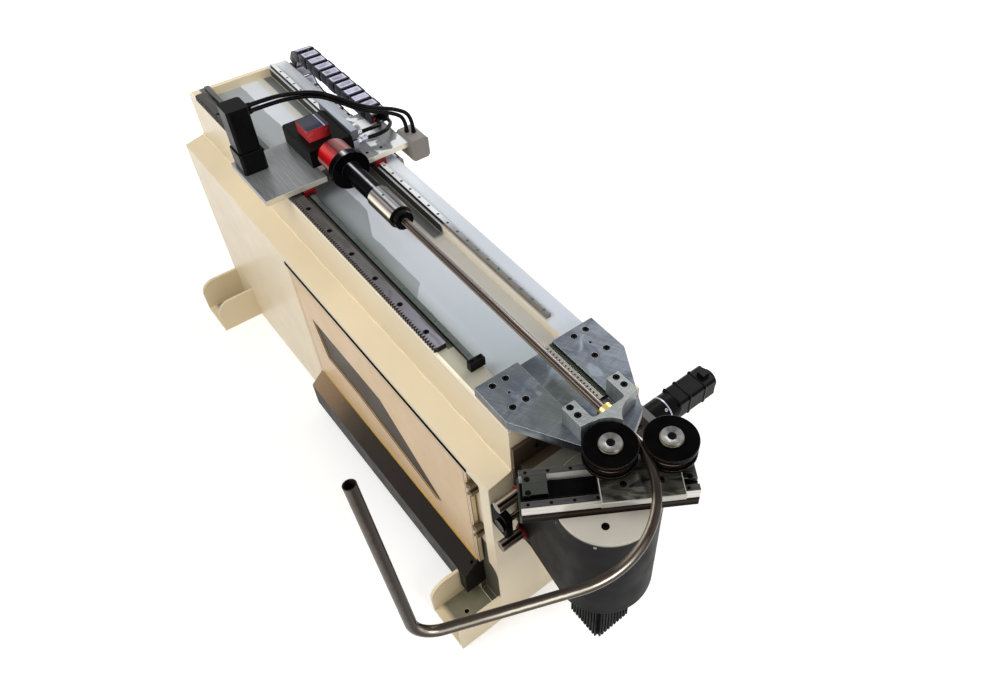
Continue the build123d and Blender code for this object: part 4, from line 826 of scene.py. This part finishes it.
class Piece:
    """One detail piece gathered from bevelled forms, each with its own look."""

    def __init__(self, name):
        self.name = name
        self.mesh = bmesh.new()
        self.looks = []

    def take(self, part, look, place):
        """Adds a form, moved to its place."""
        if look not in self.looks:
            self.looks.append(look)
        bmesh.ops.recalc_face_normals(part, faces=part.faces)
        part.transform(place)
        for face in part.faces:
            face.material_index = self.looks.index(look)
            face.smooth = True
        step = bpy.data.meshes.new("step")
        part.to_mesh(step)
        part.free()
        self.mesh.from_mesh(step)
        bpy.data.meshes.remove(step)

    def block(self, low, high, look, bevel=0.001, place=Matrix()):
        part = bmesh.new()
        low, high = Vector(low), Vector(high)
        bmesh.ops.create_cube(part, size=1.0)
        bmesh.ops.scale(part, vec=high - low, verts=part.verts)
        bmesh.ops.translate(part, vec=(low + high) / 2, verts=part.verts)
        bmesh.ops.bevel(part, geom=part.edges[:], offset=bevel, segments=2, profile=0.6, affect="EDGES")
        self.take(part, look, place)

    def lathe(self, profile, look, place, steps=40):
        """Turns (radius, height) points about the local Z axis."""
        part = bmesh.new()
        rings = []
        for radius, height in profile:
            count = 1 if radius == 0 else steps
            rings.append([part.verts.new((radius * math.cos(2 * math.pi * i / steps),
                                          radius * math.sin(2 * math.pi * i / steps), height))
                          for i in range(count)])
        join(part, rings)
        self.take(part, look, place)

    def bar(self, outline, start, end, look, place):
        """A straight bar with this outline, from start to end along the local Z axis."""
        part = bmesh.new()
        ends = [[part.verts.new((x, y, z)) for x, y in outline] for z in (start, end)]
        for ring in ends:
            part.faces.new(ring)
        join(part, ends)
        self.take(part, look, place)

    def screw(self, radius, place, look=screw_black):
        """A socket screw head: bevelled rim, flat top and a hexagon socket as a flat disc of painted shade.
        """
        height = radius * 0.5
        head = [(radius, 0.0), (radius, height - SCREW_RIM), (radius - SCREW_RIM, height), (0.0, height)]
        self.lathe(head, look, place)
        self.lathe([(radius * 0.55, height + HAIR), (0.0, height + HAIR)], hollow_shade, place, 6)

    def hole(self, radius, place, rim):
        """A bore as a flat dark disc of painted shade, with a lip in the rim's look."""
        lip = radius * 1.14
        self.lathe([(lip, 0.0), (lip, 0.0003), (radius, 0.0004)], rim, place)
        self.lathe([(radius, 0.0004), (0.0, 0.0004)], hollow_shade, place)

    def done(self, body, slot, *replaced, origin=(0, 0, 0)):
        mesh = bpy.data.meshes.new(self.name)
        self.mesh.to_mesh(mesh)
        self.mesh.free()
        mesh.set_sharp_from_angle(angle=math.radians(32))
        for look in self.looks:
            mesh.materials.append(look)
        obj = bpy.data.objects.new(self.name, mesh)
        obj.location = origin
        scene.collection.objects.link(obj)
        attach(obj, body)
        if replaced:
            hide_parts(*replaced)


def facing(place, way):
    """A frame at this place whose Z axis points this way."""
    turn = Vector(way).to_track_quat("Z", "Y").to_matrix().to_4x4()
    return Matrix.Translation(place) @ turn


def extent(node):
    """Low corner, high corner and middle of a node's box."""
    low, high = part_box(node)
    return low, high, (low + high) / 2


def on_top(node, places, base=Matrix()):
    """Upright frames at these places, in the base's frame, on a node's top."""
    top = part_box(node)[1].z
    return [base @ Matrix.Translation((x, y, top)) for x, y in places]


def drilled(name, body, slot, spots, bore=None, rim=None, screw=None, sink=0.0):
    """A piece of equal bores, of screws, or of screws in bores."""
    piece = Piece(name)
    for spot in spots:
        if bore:
            piece.hole(bore, spot, rim)
        if screw:
            piece.screw(screw, spot @ Matrix.Translation((0, 0, -sink)))
    piece.done(body, slot)


def turned(name, body, slot, spots, *forms):
    """A piece of equal turned forms at these spots; a form is its profile, its look and its steps."""
    piece = Piece(name)
    for spot in spots:
        for profile, look, steps in forms:
            piece.lathe(profile, look, spot, steps)
    piece.done(body, slot)


ALONG_X = Matrix(((0, 0, 1, 0), (1, 0, 0, 0), (0, 1, 0, 0), (0, 0, 0, 1)))
SIDES = (-1, 1)

# Linear rails: waisted profile with capped screw holes
RAIL_HALF_PROFILE = [(0.0100, 0.0), (0.0100, 0.0040), (0.0074, 0.0066), (0.0074, 0.0094), (0.0100, 0.0120),
                     (0.0100, 0.0145), (0.0090, 0.0155)]
RAIL_SKIN = 0.0006
CAP_PITCH = 0.060
CAP_RADIUS = 0.0054


def make_rail(name, y, front, first_cap, top_look, side_look):
    rail = Piece(name)
    outline = RAIL_HALF_PROFILE + [(-x, z) for x, z in reversed(RAIL_HALF_PROFILE)]
    rail.bar(outline, RAIL_LOW.x, front, side_look, Matrix.Translation((0, y, RAIL_LOW.z)) @ ALONG_X)
    half_width = RAIL_HALF_PROFILE[-1][0]
    top = RAIL_HIGH.z + HAIR
    rail.block((RAIL_LOW.x, y - half_width, top - RAIL_SKIN), (front, y + half_width, top), top_look, 0.0002)
    for index in range(int((front - first_cap - RAIL_LOW.x) / CAP_PITCH)):
        spot = facing((front - first_cap - index * CAP_PITCH, y, top), UP)
        rail.lathe([(CAP_RADIUS, 0.0), (CAP_RADIUS * 0.9, HAIR), (0.0, HAIR)], cap_green, spot, 24)
    rail.done("frame", "rail_steel", "linear_rails")


make_rail("rail_near", -RAIL_OFFSET, front=0.838, first_cap=0.029, top_look=rail_near, side_look=near_side)
make_rail("rail_far", RAIL_OFFSET, front=0.828, first_cap=0.024, top_look=rail_far, side_look=rail_side)

# Rail stop: two counterbores in its top
STOP_HIGH, STOP_MIDDLE = extent("rail_stop")[1:]
STOP_ASIDE = 0.013
STOP_SPOTS = [facing((STOP_MIDDLE.x, STOP_MIDDLE.y + side * STOP_ASIDE, STOP_HIGH.z), UP) for side in SIDES]
drilled("stop_screws", "frame", "black_screws", STOP_SPOTS, bore=0.0062, rim=screw_black)


# Roller hubs: stepped turned discs with a black centre screw
def make_hub(name, node, body):
    low, high, middle = extent(node)
    radius = (high.x - low.x) / 2
    height = high.z - low.z
    step = radius * 0.94
    bore = radius * 0.36
    floor = height - 0.004
    rim = height - 0.0012
    lip = height - 0.001
    hub = Piece(name)
    wall = [(radius, 0.0), (radius, height * 0.42), (step, height * 0.50), (step, rim)]
    hub.lathe(wall, hub_side, Matrix(), 64)
    face = [(step, rim), (step - 0.0012, height), (bore * 1.2, height), (bore, lip)]
    hub.lathe(face, hub_steel, Matrix(), 64)
    hub.lathe([(bore, lip), (bore * 0.96, floor), (0.0, floor)], hollow_shade, Matrix(), 48)
    hub.screw(bore * 0.82, Matrix.Translation((0, 0, floor)))
    hub.done(body, "silver_metal", node, origin=(middle.x, middle.y, low.z))


make_hub("hub_cap_near", "hub_near", "roller_1")
make_hub("hub_cap_far", "hub_far", "roller_2")

# Cable chain: hinged links with cross bars, and the cables between them
LINK_PITCH = 0.057
LINK_GAP = 0.0015
LINK_TUCK = 0.003
PLATE = 0.007
BAR = 0.005
PANEL_MARGIN = 0.006
HINGE_BOSS = [(0.008, 0.0), (0.008, 0.0008), (0.006, 0.0012), (0.0, 0.0012)]
CABLE_RADII = [0.008, 0.006, 0.009, 0.006]


def add_link(piece, length, width, half_height, place, tucked):
    """One link about the local origin: two side plates and a panelled cross bar above and below."""
    half = length / 2 - LINK_GAP
    half_width = width / 2 - LINK_TUCK * tucked
    for side in SIDES:
        near, far = sorted((side * half_width, side * (half_width - PLATE)))
        piece.block((-half, near, -half_height), (half, far, half_height), chain_side, 0.003, place)
        hinge = facing((-half + 0.010, side * half_width, 0.0), (0, side, 0))
        piece.lathe(HINGE_BOSS, chain_bar, place @ hinge, 24)
    layers = [(chain_bar, -0.0005, -BAR, 0.0016), (chain_panel, -0.001, 0.0006, 0.0008),
              (chain_inset, 0.0, 0.0009, 0.0002)]
    for side in SIDES:
        for margins, (look, inner, outer, bevel) in enumerate(layers):
            inset = margins * PANEL_MARGIN
            reach = width / 2 - PLATE * 0.5 - inset
            low, high = sorted((side * (half_height + inner), side * (half_height + outer)))
            rear, front = -half + 0.005 + inset, half - 0.006 - inset
            piece.block((rear, -reach, low), (front, reach, high), look, bevel, place)


def round_outline(radius, count=16):
    angles = [2 * math.pi * k / count for k in range(count)]
    return [(radius * math.cos(a), radius * math.sin(a)) for a in angles]


def make_chain_run(name, node, body):
    low, high, middle = extent(node)
    size = high - low
    count = int(size.x / LINK_PITCH)
    pitch = size.x / count
    run = Piece(name)
    for index in range(count):
        spot = Matrix.Translation((low.x + (index + 0.5) * pitch, middle.y, middle.z))
        add_link(run, pitch, size.y, size.z / 2 - 0.001, spot, index % 2)
    for index, radius in enumerate(CABLE_RADII):
        y = low.y + size.y * (index + 1) / (len(CABLE_RADII) + 1)
        look = cable_red if index == 0 else rubber
        run.bar(round_outline(radius), low.x, high.x, look, Matrix.Translation((0, y, middle.z)) @ ALONG_X)
    run.done(body, "chain_plastic", node)


def make_chain_loop(name, node, body):
    low, high, middle = extent(node)
    run_low, run_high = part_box("cable_chain_upper")
    half_height = (run_high.z - run_low.z) / 2
    radius = (high.z - low.z) / 2 - half_height
    count = int(math.pi * radius / LINK_PITCH)
    loop = Piece(name)
    for index in range(count):
        turn = Matrix.Rotation(-math.pi * (index + 0.5) / count, 4, "Y")
        spot = Matrix.Translation((high.x, middle.y, middle.z)) @ turn @ Matrix.Translation((0, 0, radius))
        add_link(loop, math.pi * radius / count, high.y - low.y, half_height - 0.002, spot, index % 2)
    loop.done(body, "chain_plastic", node)


make_chain_run("chain_upper_links", "cable_chain_upper", "carriage")
make_chain_run("chain_lower_links", "cable_chain_lower", "frame")
make_chain_loop("chain_loop_links", "cable_chain_loop", "chain_loop")

# Cable glands on the end box: a hexagon nut under a dome
GLAND_PLACES = [(-0.230, 0.296), (-0.212, 0.315)]
GLAND_NUT = [(0.0090, 0.0), (0.0090, 0.0055), (0.0086, 0.0060)]
GLAND_DOME = [(0.0090, 0.0060), (0.0088, 0.0110), (0.0072, 0.014), (0.0, 0.014)]
turned("cable_glands", "carriage", "black_rubber", on_top("end_box", GLAND_PLACES), (GLAND_NUT, rubber, 6),
       (GLAND_DOME, rubber, 18))

# Screws and bores of the slide module: distance along the arm, then across it
HOLE_FIRST = -0.220
HOLE_PITCH = 0.061
HOLE_COUNT = 8
HOLE_ASIDE = 0.049
MODULE_HOLES = [(HOLE_FIRST + i * HOLE_PITCH, side * HOLE_ASIDE) for i in range(HOLE_COUNT) for side in SIDES]
MODULE_SPOTS = on_top("module_rails", MODULE_HOLES, ARM)
END_SCREWS = [(-0.217, 0.023), (-0.217, -0.018), (0.216, 0.023), (0.216, -0.018)]
END_SPOTS = on_top("module_end_block", END_SCREWS, ARM)
ROLLER_PLATE_SPOTS = on_top("roller_plate", [(0.031, -0.035), (0.132, -0.033)], ARM)
drilled("module_rail_holes", "arm", "rail_steel", MODULE_SPOTS, bore=0.0042, rim=screw_black)
drilled("end_block_screws", "arm", "black_screws", END_SPOTS, bore=0.0085, rim=end_metal, screw=0.0064,
        sink=0.0027)
drilled("roller_plate_bores", "roller_slide", "black_screws", ROLLER_PLATE_SPOTS, bore=0.0085,
        rim=black_steel, screw=0.0058)

# Screw in the turntable, level with the underside of the module
DISC_SPOT = Matrix.Translation((1.4664, -0.1726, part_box("module_base")[0].z))
drilled("turntable_bore", "arm", "black_screws", [DISC_SPOT], bore=0.010, rim=hollow_shade, screw=0.007)

# Small button screws round the drum
DRUM_SCREWS = [(1.3548, -0.2507, 0.9993), (1.4878, -0.2267, 1.0193), (1.5495, -0.0836, 0.9854)]
DRUM_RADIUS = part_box("head_housing")[1].x - DRUM.x
BUTTON = [(0.0046, -0.002), (0.0046, 0.0010), (0.0036, 0.0018), (0.0, 0.0020)]
BUTTON_SOCKET = [(0.0016, 0.0021), (0.0, 0.0021)]


def on_drum(x, y, z):
    """A frame on the drum's wall toward this place, facing out."""
    out = (Vector((x, y, 0)) - DRUM).normalized()
    return facing(DRUM + out * DRUM_RADIUS + UP * z, out)


DRUM_SPOTS = [on_drum(*place) for place in DRUM_SCREWS]
turned("drum_screws", "head", "silver_metal", DRUM_SPOTS, (BUTTON, clamp_metal, 24),
       (BUTTON_SOCKET, hollow_shade, 6))

# Cap ring of the shift screw's near bearing
SHIFT_AXIS = extent("shift_screw")[2]
CAP_SPOT = facing((SHIFT_AXIS.x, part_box("screw_bearing_block")[0].y, SHIFT_AXIS.z), (0, -1, 0))
CAP_RING = [(0.0215, 0.0), (0.0215, 0.0006), (0.0200, 0.0010)]
CAP_FACE = [(0.0200, 0.0010), (0.0150, 0.0004), (0.0, 0.0004)]
turned("bearing_cap", "frame", "black_paint", [CAP_SPOT], (CAP_RING, end_metal, 48),
       (CAP_FACE, black_paint, 48))

# Shift drive: clamping ring with its screw on the gearbox
RING_RISE = 0.0012
RING_PLACE = 0.62
RING_SCREW_WAY = Vector((0.55, 0, 0.84))


def make_gear_ring():
    low, high, middle = extent("shift_gearbox")
    radius = (high.z - low.z) / 2
    raised = radius + RING_RISE
    piece = Piece("gearbox_ring")
    spot = facing((middle.x, low.y + (high.y - low.y) * RING_PLACE, middle.z), (0, 1, 0))
    ring = [(radius, 0.0), (raised, 0.0008), (raised, 0.0052), (radius, 0.006)]
    piece.lathe(ring, fitting_chrome, spot, 64)
    top = middle + RING_SCREW_WAY.normalized() * (radius - 0.001) + Vector((0, 0.004, 0))
    piece.screw(0.0055, facing(top, RING_SCREW_WAY), fitting_chrome)
    piece.done("frame", "chrome_rods")


make_gear_ring()

# Door: a dark strip of painted shade for the gap above the leaf, and the bright sill trim under it
SEAM = 0.013
SEAM_OUT = 0.003
SEAM_RISE = 0.002
SILL_DEPTH = 0.004
SILL_HEIGHT = 0.020
SILL_DROP = 0.003


def make_door_trim():
    low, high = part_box("door_leaf")
    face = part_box("cabinet_shell")[0].y
    seam_low = high.z + SEAM_RISE
    seam_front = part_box("door_hinges")[0].x
    seam = Piece("door_seam")
    seam.block((low.x - SEAM, face - SEAM_OUT, seam_low), (seam_front, face - HAIR, seam_low + SEAM),
               hollow_shade, 0.0003)
    seam.done("frame", "black_rubber")
    skirt_low, skirt_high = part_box("side_skirt")
    sill_high = low.z - SILL_DROP
    sill = Piece("door_sill")
    sill.block((skirt_low.x + 0.002, face, low.z - SILL_HEIGHT - SILL_DROP),
               (skirt_high.x - 0.004, face + SILL_DEPTH, sill_high), yellow)
    sill.done("frame", "brass")


make_door_trim()

# Wavy bead where the cabinet's sloping top meets the side of the bed, in a lighter cream for a painted
# highlight along the fold
BEAD_RADIUS = 0.0042
BEAD_STEP = 0.016


def make_bead():
    low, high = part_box("bed_frame")
    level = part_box("cabinet_shell")[1].z
    piece = Piece("fold_highlight_bead")
    count = int((high.x - low.x) / BEAD_STEP)
    part = bmesh.new()
    rings = []
    for index in range(count + 1):
        x = low.x + (high.x - low.x) * index / count
        swell = 1.0 + 0.28 * math.sin(x * 61.0) * math.sin(x * 23.0) + 0.12 * math.sin(x * 140.0)
        shift = 0.0012 * math.sin(x * 37.0)
        ring = round_outline(BEAD_RADIUS * swell, 10)
        rings.append([part.verts.new((x, low.y - 0.001 + shift + u, level + 0.001 + v)) for u, v in ring])
    join(part, rings)
    piece.take(part, bead_highlight_cream, Matrix())
    piece.done("frame", "cream_paint")


make_bead()

# Toothed bar along the far wall of the front plate's channel
CHANNEL_HALF = 0.0640
TOOTH_PITCH = 0.0070
TOOTH_LENGTH = 0.0044
TOOTH_BEVEL = 0.0006


def make_channel_teeth():
    low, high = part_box("notched_strip")
    piece = Piece("channel_teeth")
    piece.block((low.x, high.y + 0.0005, low.z), (high.x, CHANNEL_HALF, high.z - 0.003), tooth_steel,
                TOOTH_BEVEL)
    for index in range(int((high.x - low.x) / TOOTH_PITCH)):
        x = low.x + index * TOOTH_PITCH
        piece.block((x, high.y + 0.0015, high.z - 0.0035), (x + TOOTH_LENGTH, CHANNEL_HALF, high.z + 0.0005),
                    tooth_steel, TOOTH_BEVEL)
    piece.done("frame", "light_steel")


make_channel_teeth()

# Ferrules and nuts at the start of the two hoses
HOSE_STARTS = [facing(HOSE_ROUTES[name][1][0], (0, 1, 0)) for name in ("hose_inner", "hose_outer")]
HOSE_NUT = [(0.0, 0.0), (0.0115, 0.0), (0.0115, 0.011), (0.0102, 0.012)]
CRIMPS = [0.015, 0.024, 0.033]
CRIMP_FORM = [(0.0098, 0.001), (0.0098, 0.0065), (0.0092, 0.008)]
FERRULE = [(0.0086, 0.012), (0.0086, 0.015)]
FERRULE += [(radius, start + rise) for start in CRIMPS for radius, rise in CRIMP_FORM]
FERRULE += [(0.0076, 0.042)]
turned("hose_ferrules", "carriage", "silver_metal", HOSE_STARTS, (HOSE_NUT, fitting_chrome, 6),
       (FERRULE, fitting_chrome, 32))

# Anchor holes of the feet, as dark discs of painted shade
ANCHOR_LEVEL = 0.0105
ANCHORS = [Matrix.Translation((x, y, ANCHOR_LEVEL)) for x in (-0.997, 0.997) for y in (-0.395, 0.395)]
ANCHOR_BORE = [(0.0088, -0.004), (0.0088, 0.0), (0.0, 0.0004)]
turned("anchor_bores", "frame", "black_screws", ANCHORS, (ANCHOR_BORE, hollow_shade, 32))

# Set screw in the chuck's sleeve, as a dark disc of painted shade
SET_SCREW_X = 0.1206
SET_SCREW_Y = -0.006
SET_SCREW_RISE = 0.0002
SET_SCREW_BORE = [(0.0038, -0.001), (0.0038, 0.0002), (0.0, 0.0003)]


def on_sleeve():
    """A frame on the sleeve's wall at the set screw, facing out."""
    low, high, axis = extent("chuck_sleeve")
    radius = (high.z - low.z) / 2
    aside = SET_SCREW_Y - axis.y
    out = Vector((0, aside, math.sqrt(radius ** 2 - aside ** 2)))
    return facing(Vector((SET_SCREW_X, axis.y, axis.z)) + out * (1 + SET_SCREW_RISE / radius), out)


turned("sleeve_set_screw", "chuck", "black_screws", [on_sleeve()], (SET_SCREW_BORE, hollow_shade, 24))

# Collet: six slots in its face with a small bore between each two, as dark inlays of painted shade
COLLET_HOLE = [(0.0028, 0.0), (0.0028, 0.0003), (0.0, 0.0003)]


def make_collet_slots():
    low, high, middle = extent("collet")
    radius = (high.z - low.z) / 2
    piece = Piece("collet_slots")
    for index in range(6):
        turn = facing((high.x, middle.y, middle.z), (1, 0, 0)) @ Matrix.Rotation(index * math.pi / 3, 4, "Z")
        piece.block((radius * 0.52, -0.0011, -0.0006), (radius * 0.97, 0.0011, 0.0003), hollow_shade, 0.0002,
                    turn)
        between = turn @ Matrix.Rotation(math.pi / 6, 4, "Z") @ Matrix.Translation((radius * 0.78, 0, 0))
        piece.lathe(COLLET_HOLE, hollow_shade, between, 16)
    piece.done("chuck", "black_steel")


make_collet_slots()

# Holes of the carriage plate
CARRIAGE_SPOTS = on_top("carriage_plate", [(-0.215, 0.173), (-0.217, 0.115), (-0.317, 0.166)])
drilled("carriage_holes", "carriage", "black_screws", CARRIAGE_SPOTS, bore=0.0062, rim=plate_metal)

# Bolts that hold the cross slide bracket to the end of the bed
BRACKET_FACE = 1.112
BRACKET_BOLTS = [(-0.130, 0.980), (-0.116, 1.003), (0.116, 0.980), (0.130, 1.003)]
BOLT_SPOTS = [facing((BRACKET_FACE, y, z), (1, 0, 0)) for y, z in BRACKET_BOLTS]
drilled("bracket_bolts", "frame", "black_screws", BOLT_SPOTS, screw=0.0075)

# Head shift servo: mounting flange with its screws and two raised bands
FLANGE_OUT = 0.0015
FLANGE_LENGTH = 0.010
SERVO_BANDS = [(0.0, FLANGE_LENGTH), (0.050, 0.054), (0.122, 0.126)]


def make_servo_bands():
    low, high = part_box("shift_servo")
    axis = SHIFT_AXIS
    half = (high.x - low.x) / 2
    reach = half + FLANGE_OUT
    piece = Piece("servo_bands")
    for start, end in SERVO_BANDS:
        piece.block((axis.x - reach, low.y + start, axis.z - reach),
                    (axis.x + reach, low.y + end, axis.z + reach), black_paint, 0.006)
    for side in SIDES:
        place = (axis.x + side * (half - 0.010), low.y + FLANGE_LENGTH, axis.z + half - 0.008)
        piece.screw(0.0045, facing(place, (0, 1, 0)), clamp_metal)
    piece.done("frame", "black_paint")


make_servo_bands()

# Floor, backdrop and light
FLOOR_HALF = 9.0
FLOOR_GLOW = 0.35
FLOOR_NEAR = 1.5
FLOOR_FAR = 4.0
SKY_LIGHT = 0.45
WHITE = (1, 1, 1, 1)


def seen_directly(tree):
    """1 for rays that show the backdrop, straight or in a reflection."""
    path = tree.node("ShaderNodeLightPath")
    seen = tree.most(path["Is Camera Ray"], path["Is Glossy Ray"])
    return tree.most(seen, path["Is Transmission Ray"])


def make_stage():
    mesh = bpy.data.meshes.new("floor")
    corners = [(x * FLOOR_HALF, y * FLOOR_HALF, 0) for x, y in ((-1, -1), (1, -1), (1, 1), (-1, 1))]
    mesh.from_pydata(corners, [], [(0, 1, 2, 3)])
    floor = bpy.data.objects.new("floor", mesh)
    scene.collection.objects.link(floor)
    m = Maker("floor_pale", 0.0, 0.1)
    m.link(m.mix(m.noise(2.0), (0.86, 0.86, 0.86, 1), (0.90, 0.90, 0.90, 1)), m.sockets["Base Color"])
    m.sockets["Roughness"].default_value = 0.9
    m.sockets["Emission Color"].default_value = WHITE
    reach = m.node("ShaderNodeVectorMath", {0: m.coords["Object"]}, operation="LENGTH")["Value"]
    glow = m.ramp(reach, FLOOR_NEAR, FLOOR_FAR, FLOOR_GLOW, 1.0)
    m.link(m.times(seen_directly(m), glow), m.sockets["Emission Strength"])
    mesh.materials.append(m.mat)


def make_sky():
    world = bpy.data.worlds.new("studio")
    world.use_nodes = True
    tree = Tree(world.node_tree)
    back = world.node_tree.nodes["Background"].inputs
    back["Color"].default_value = WHITE
    tree.link(tree.ramp(seen_directly(tree), 0.0, 1.0, SKY_LIGHT, 1.0), back["Strength"])
    scene.world = world


def area_light(name, place, target, size, power):
    data = bpy.data.lights.new(name, "AREA")
    data.shape = "RECTANGLE"
    data.size, data.size_y = size
    data.energy = power
    lamp = bpy.data.objects.new(name, data)
    scene.collection.objects.link(lamp)
    lamp.location = place
    lamp.rotation_euler = (Vector(target) - Vector(place)).to_track_quat("-Z", "Y").to_euler()


make_stage()
make_sky()
area_light("key", (0.2, -2.6, 4.2), (0.3, 0, 0.9), (2.4, 1.6), 85)
area_light("front", (4.2, 0.4, 3.0), (1.0, 0, 0.8), (1.8, 1.8), 45)
area_light("far", (-0.6, 3.0, 3.4), (0.2, 0, 1.0), (2.4, 1.2), 65)
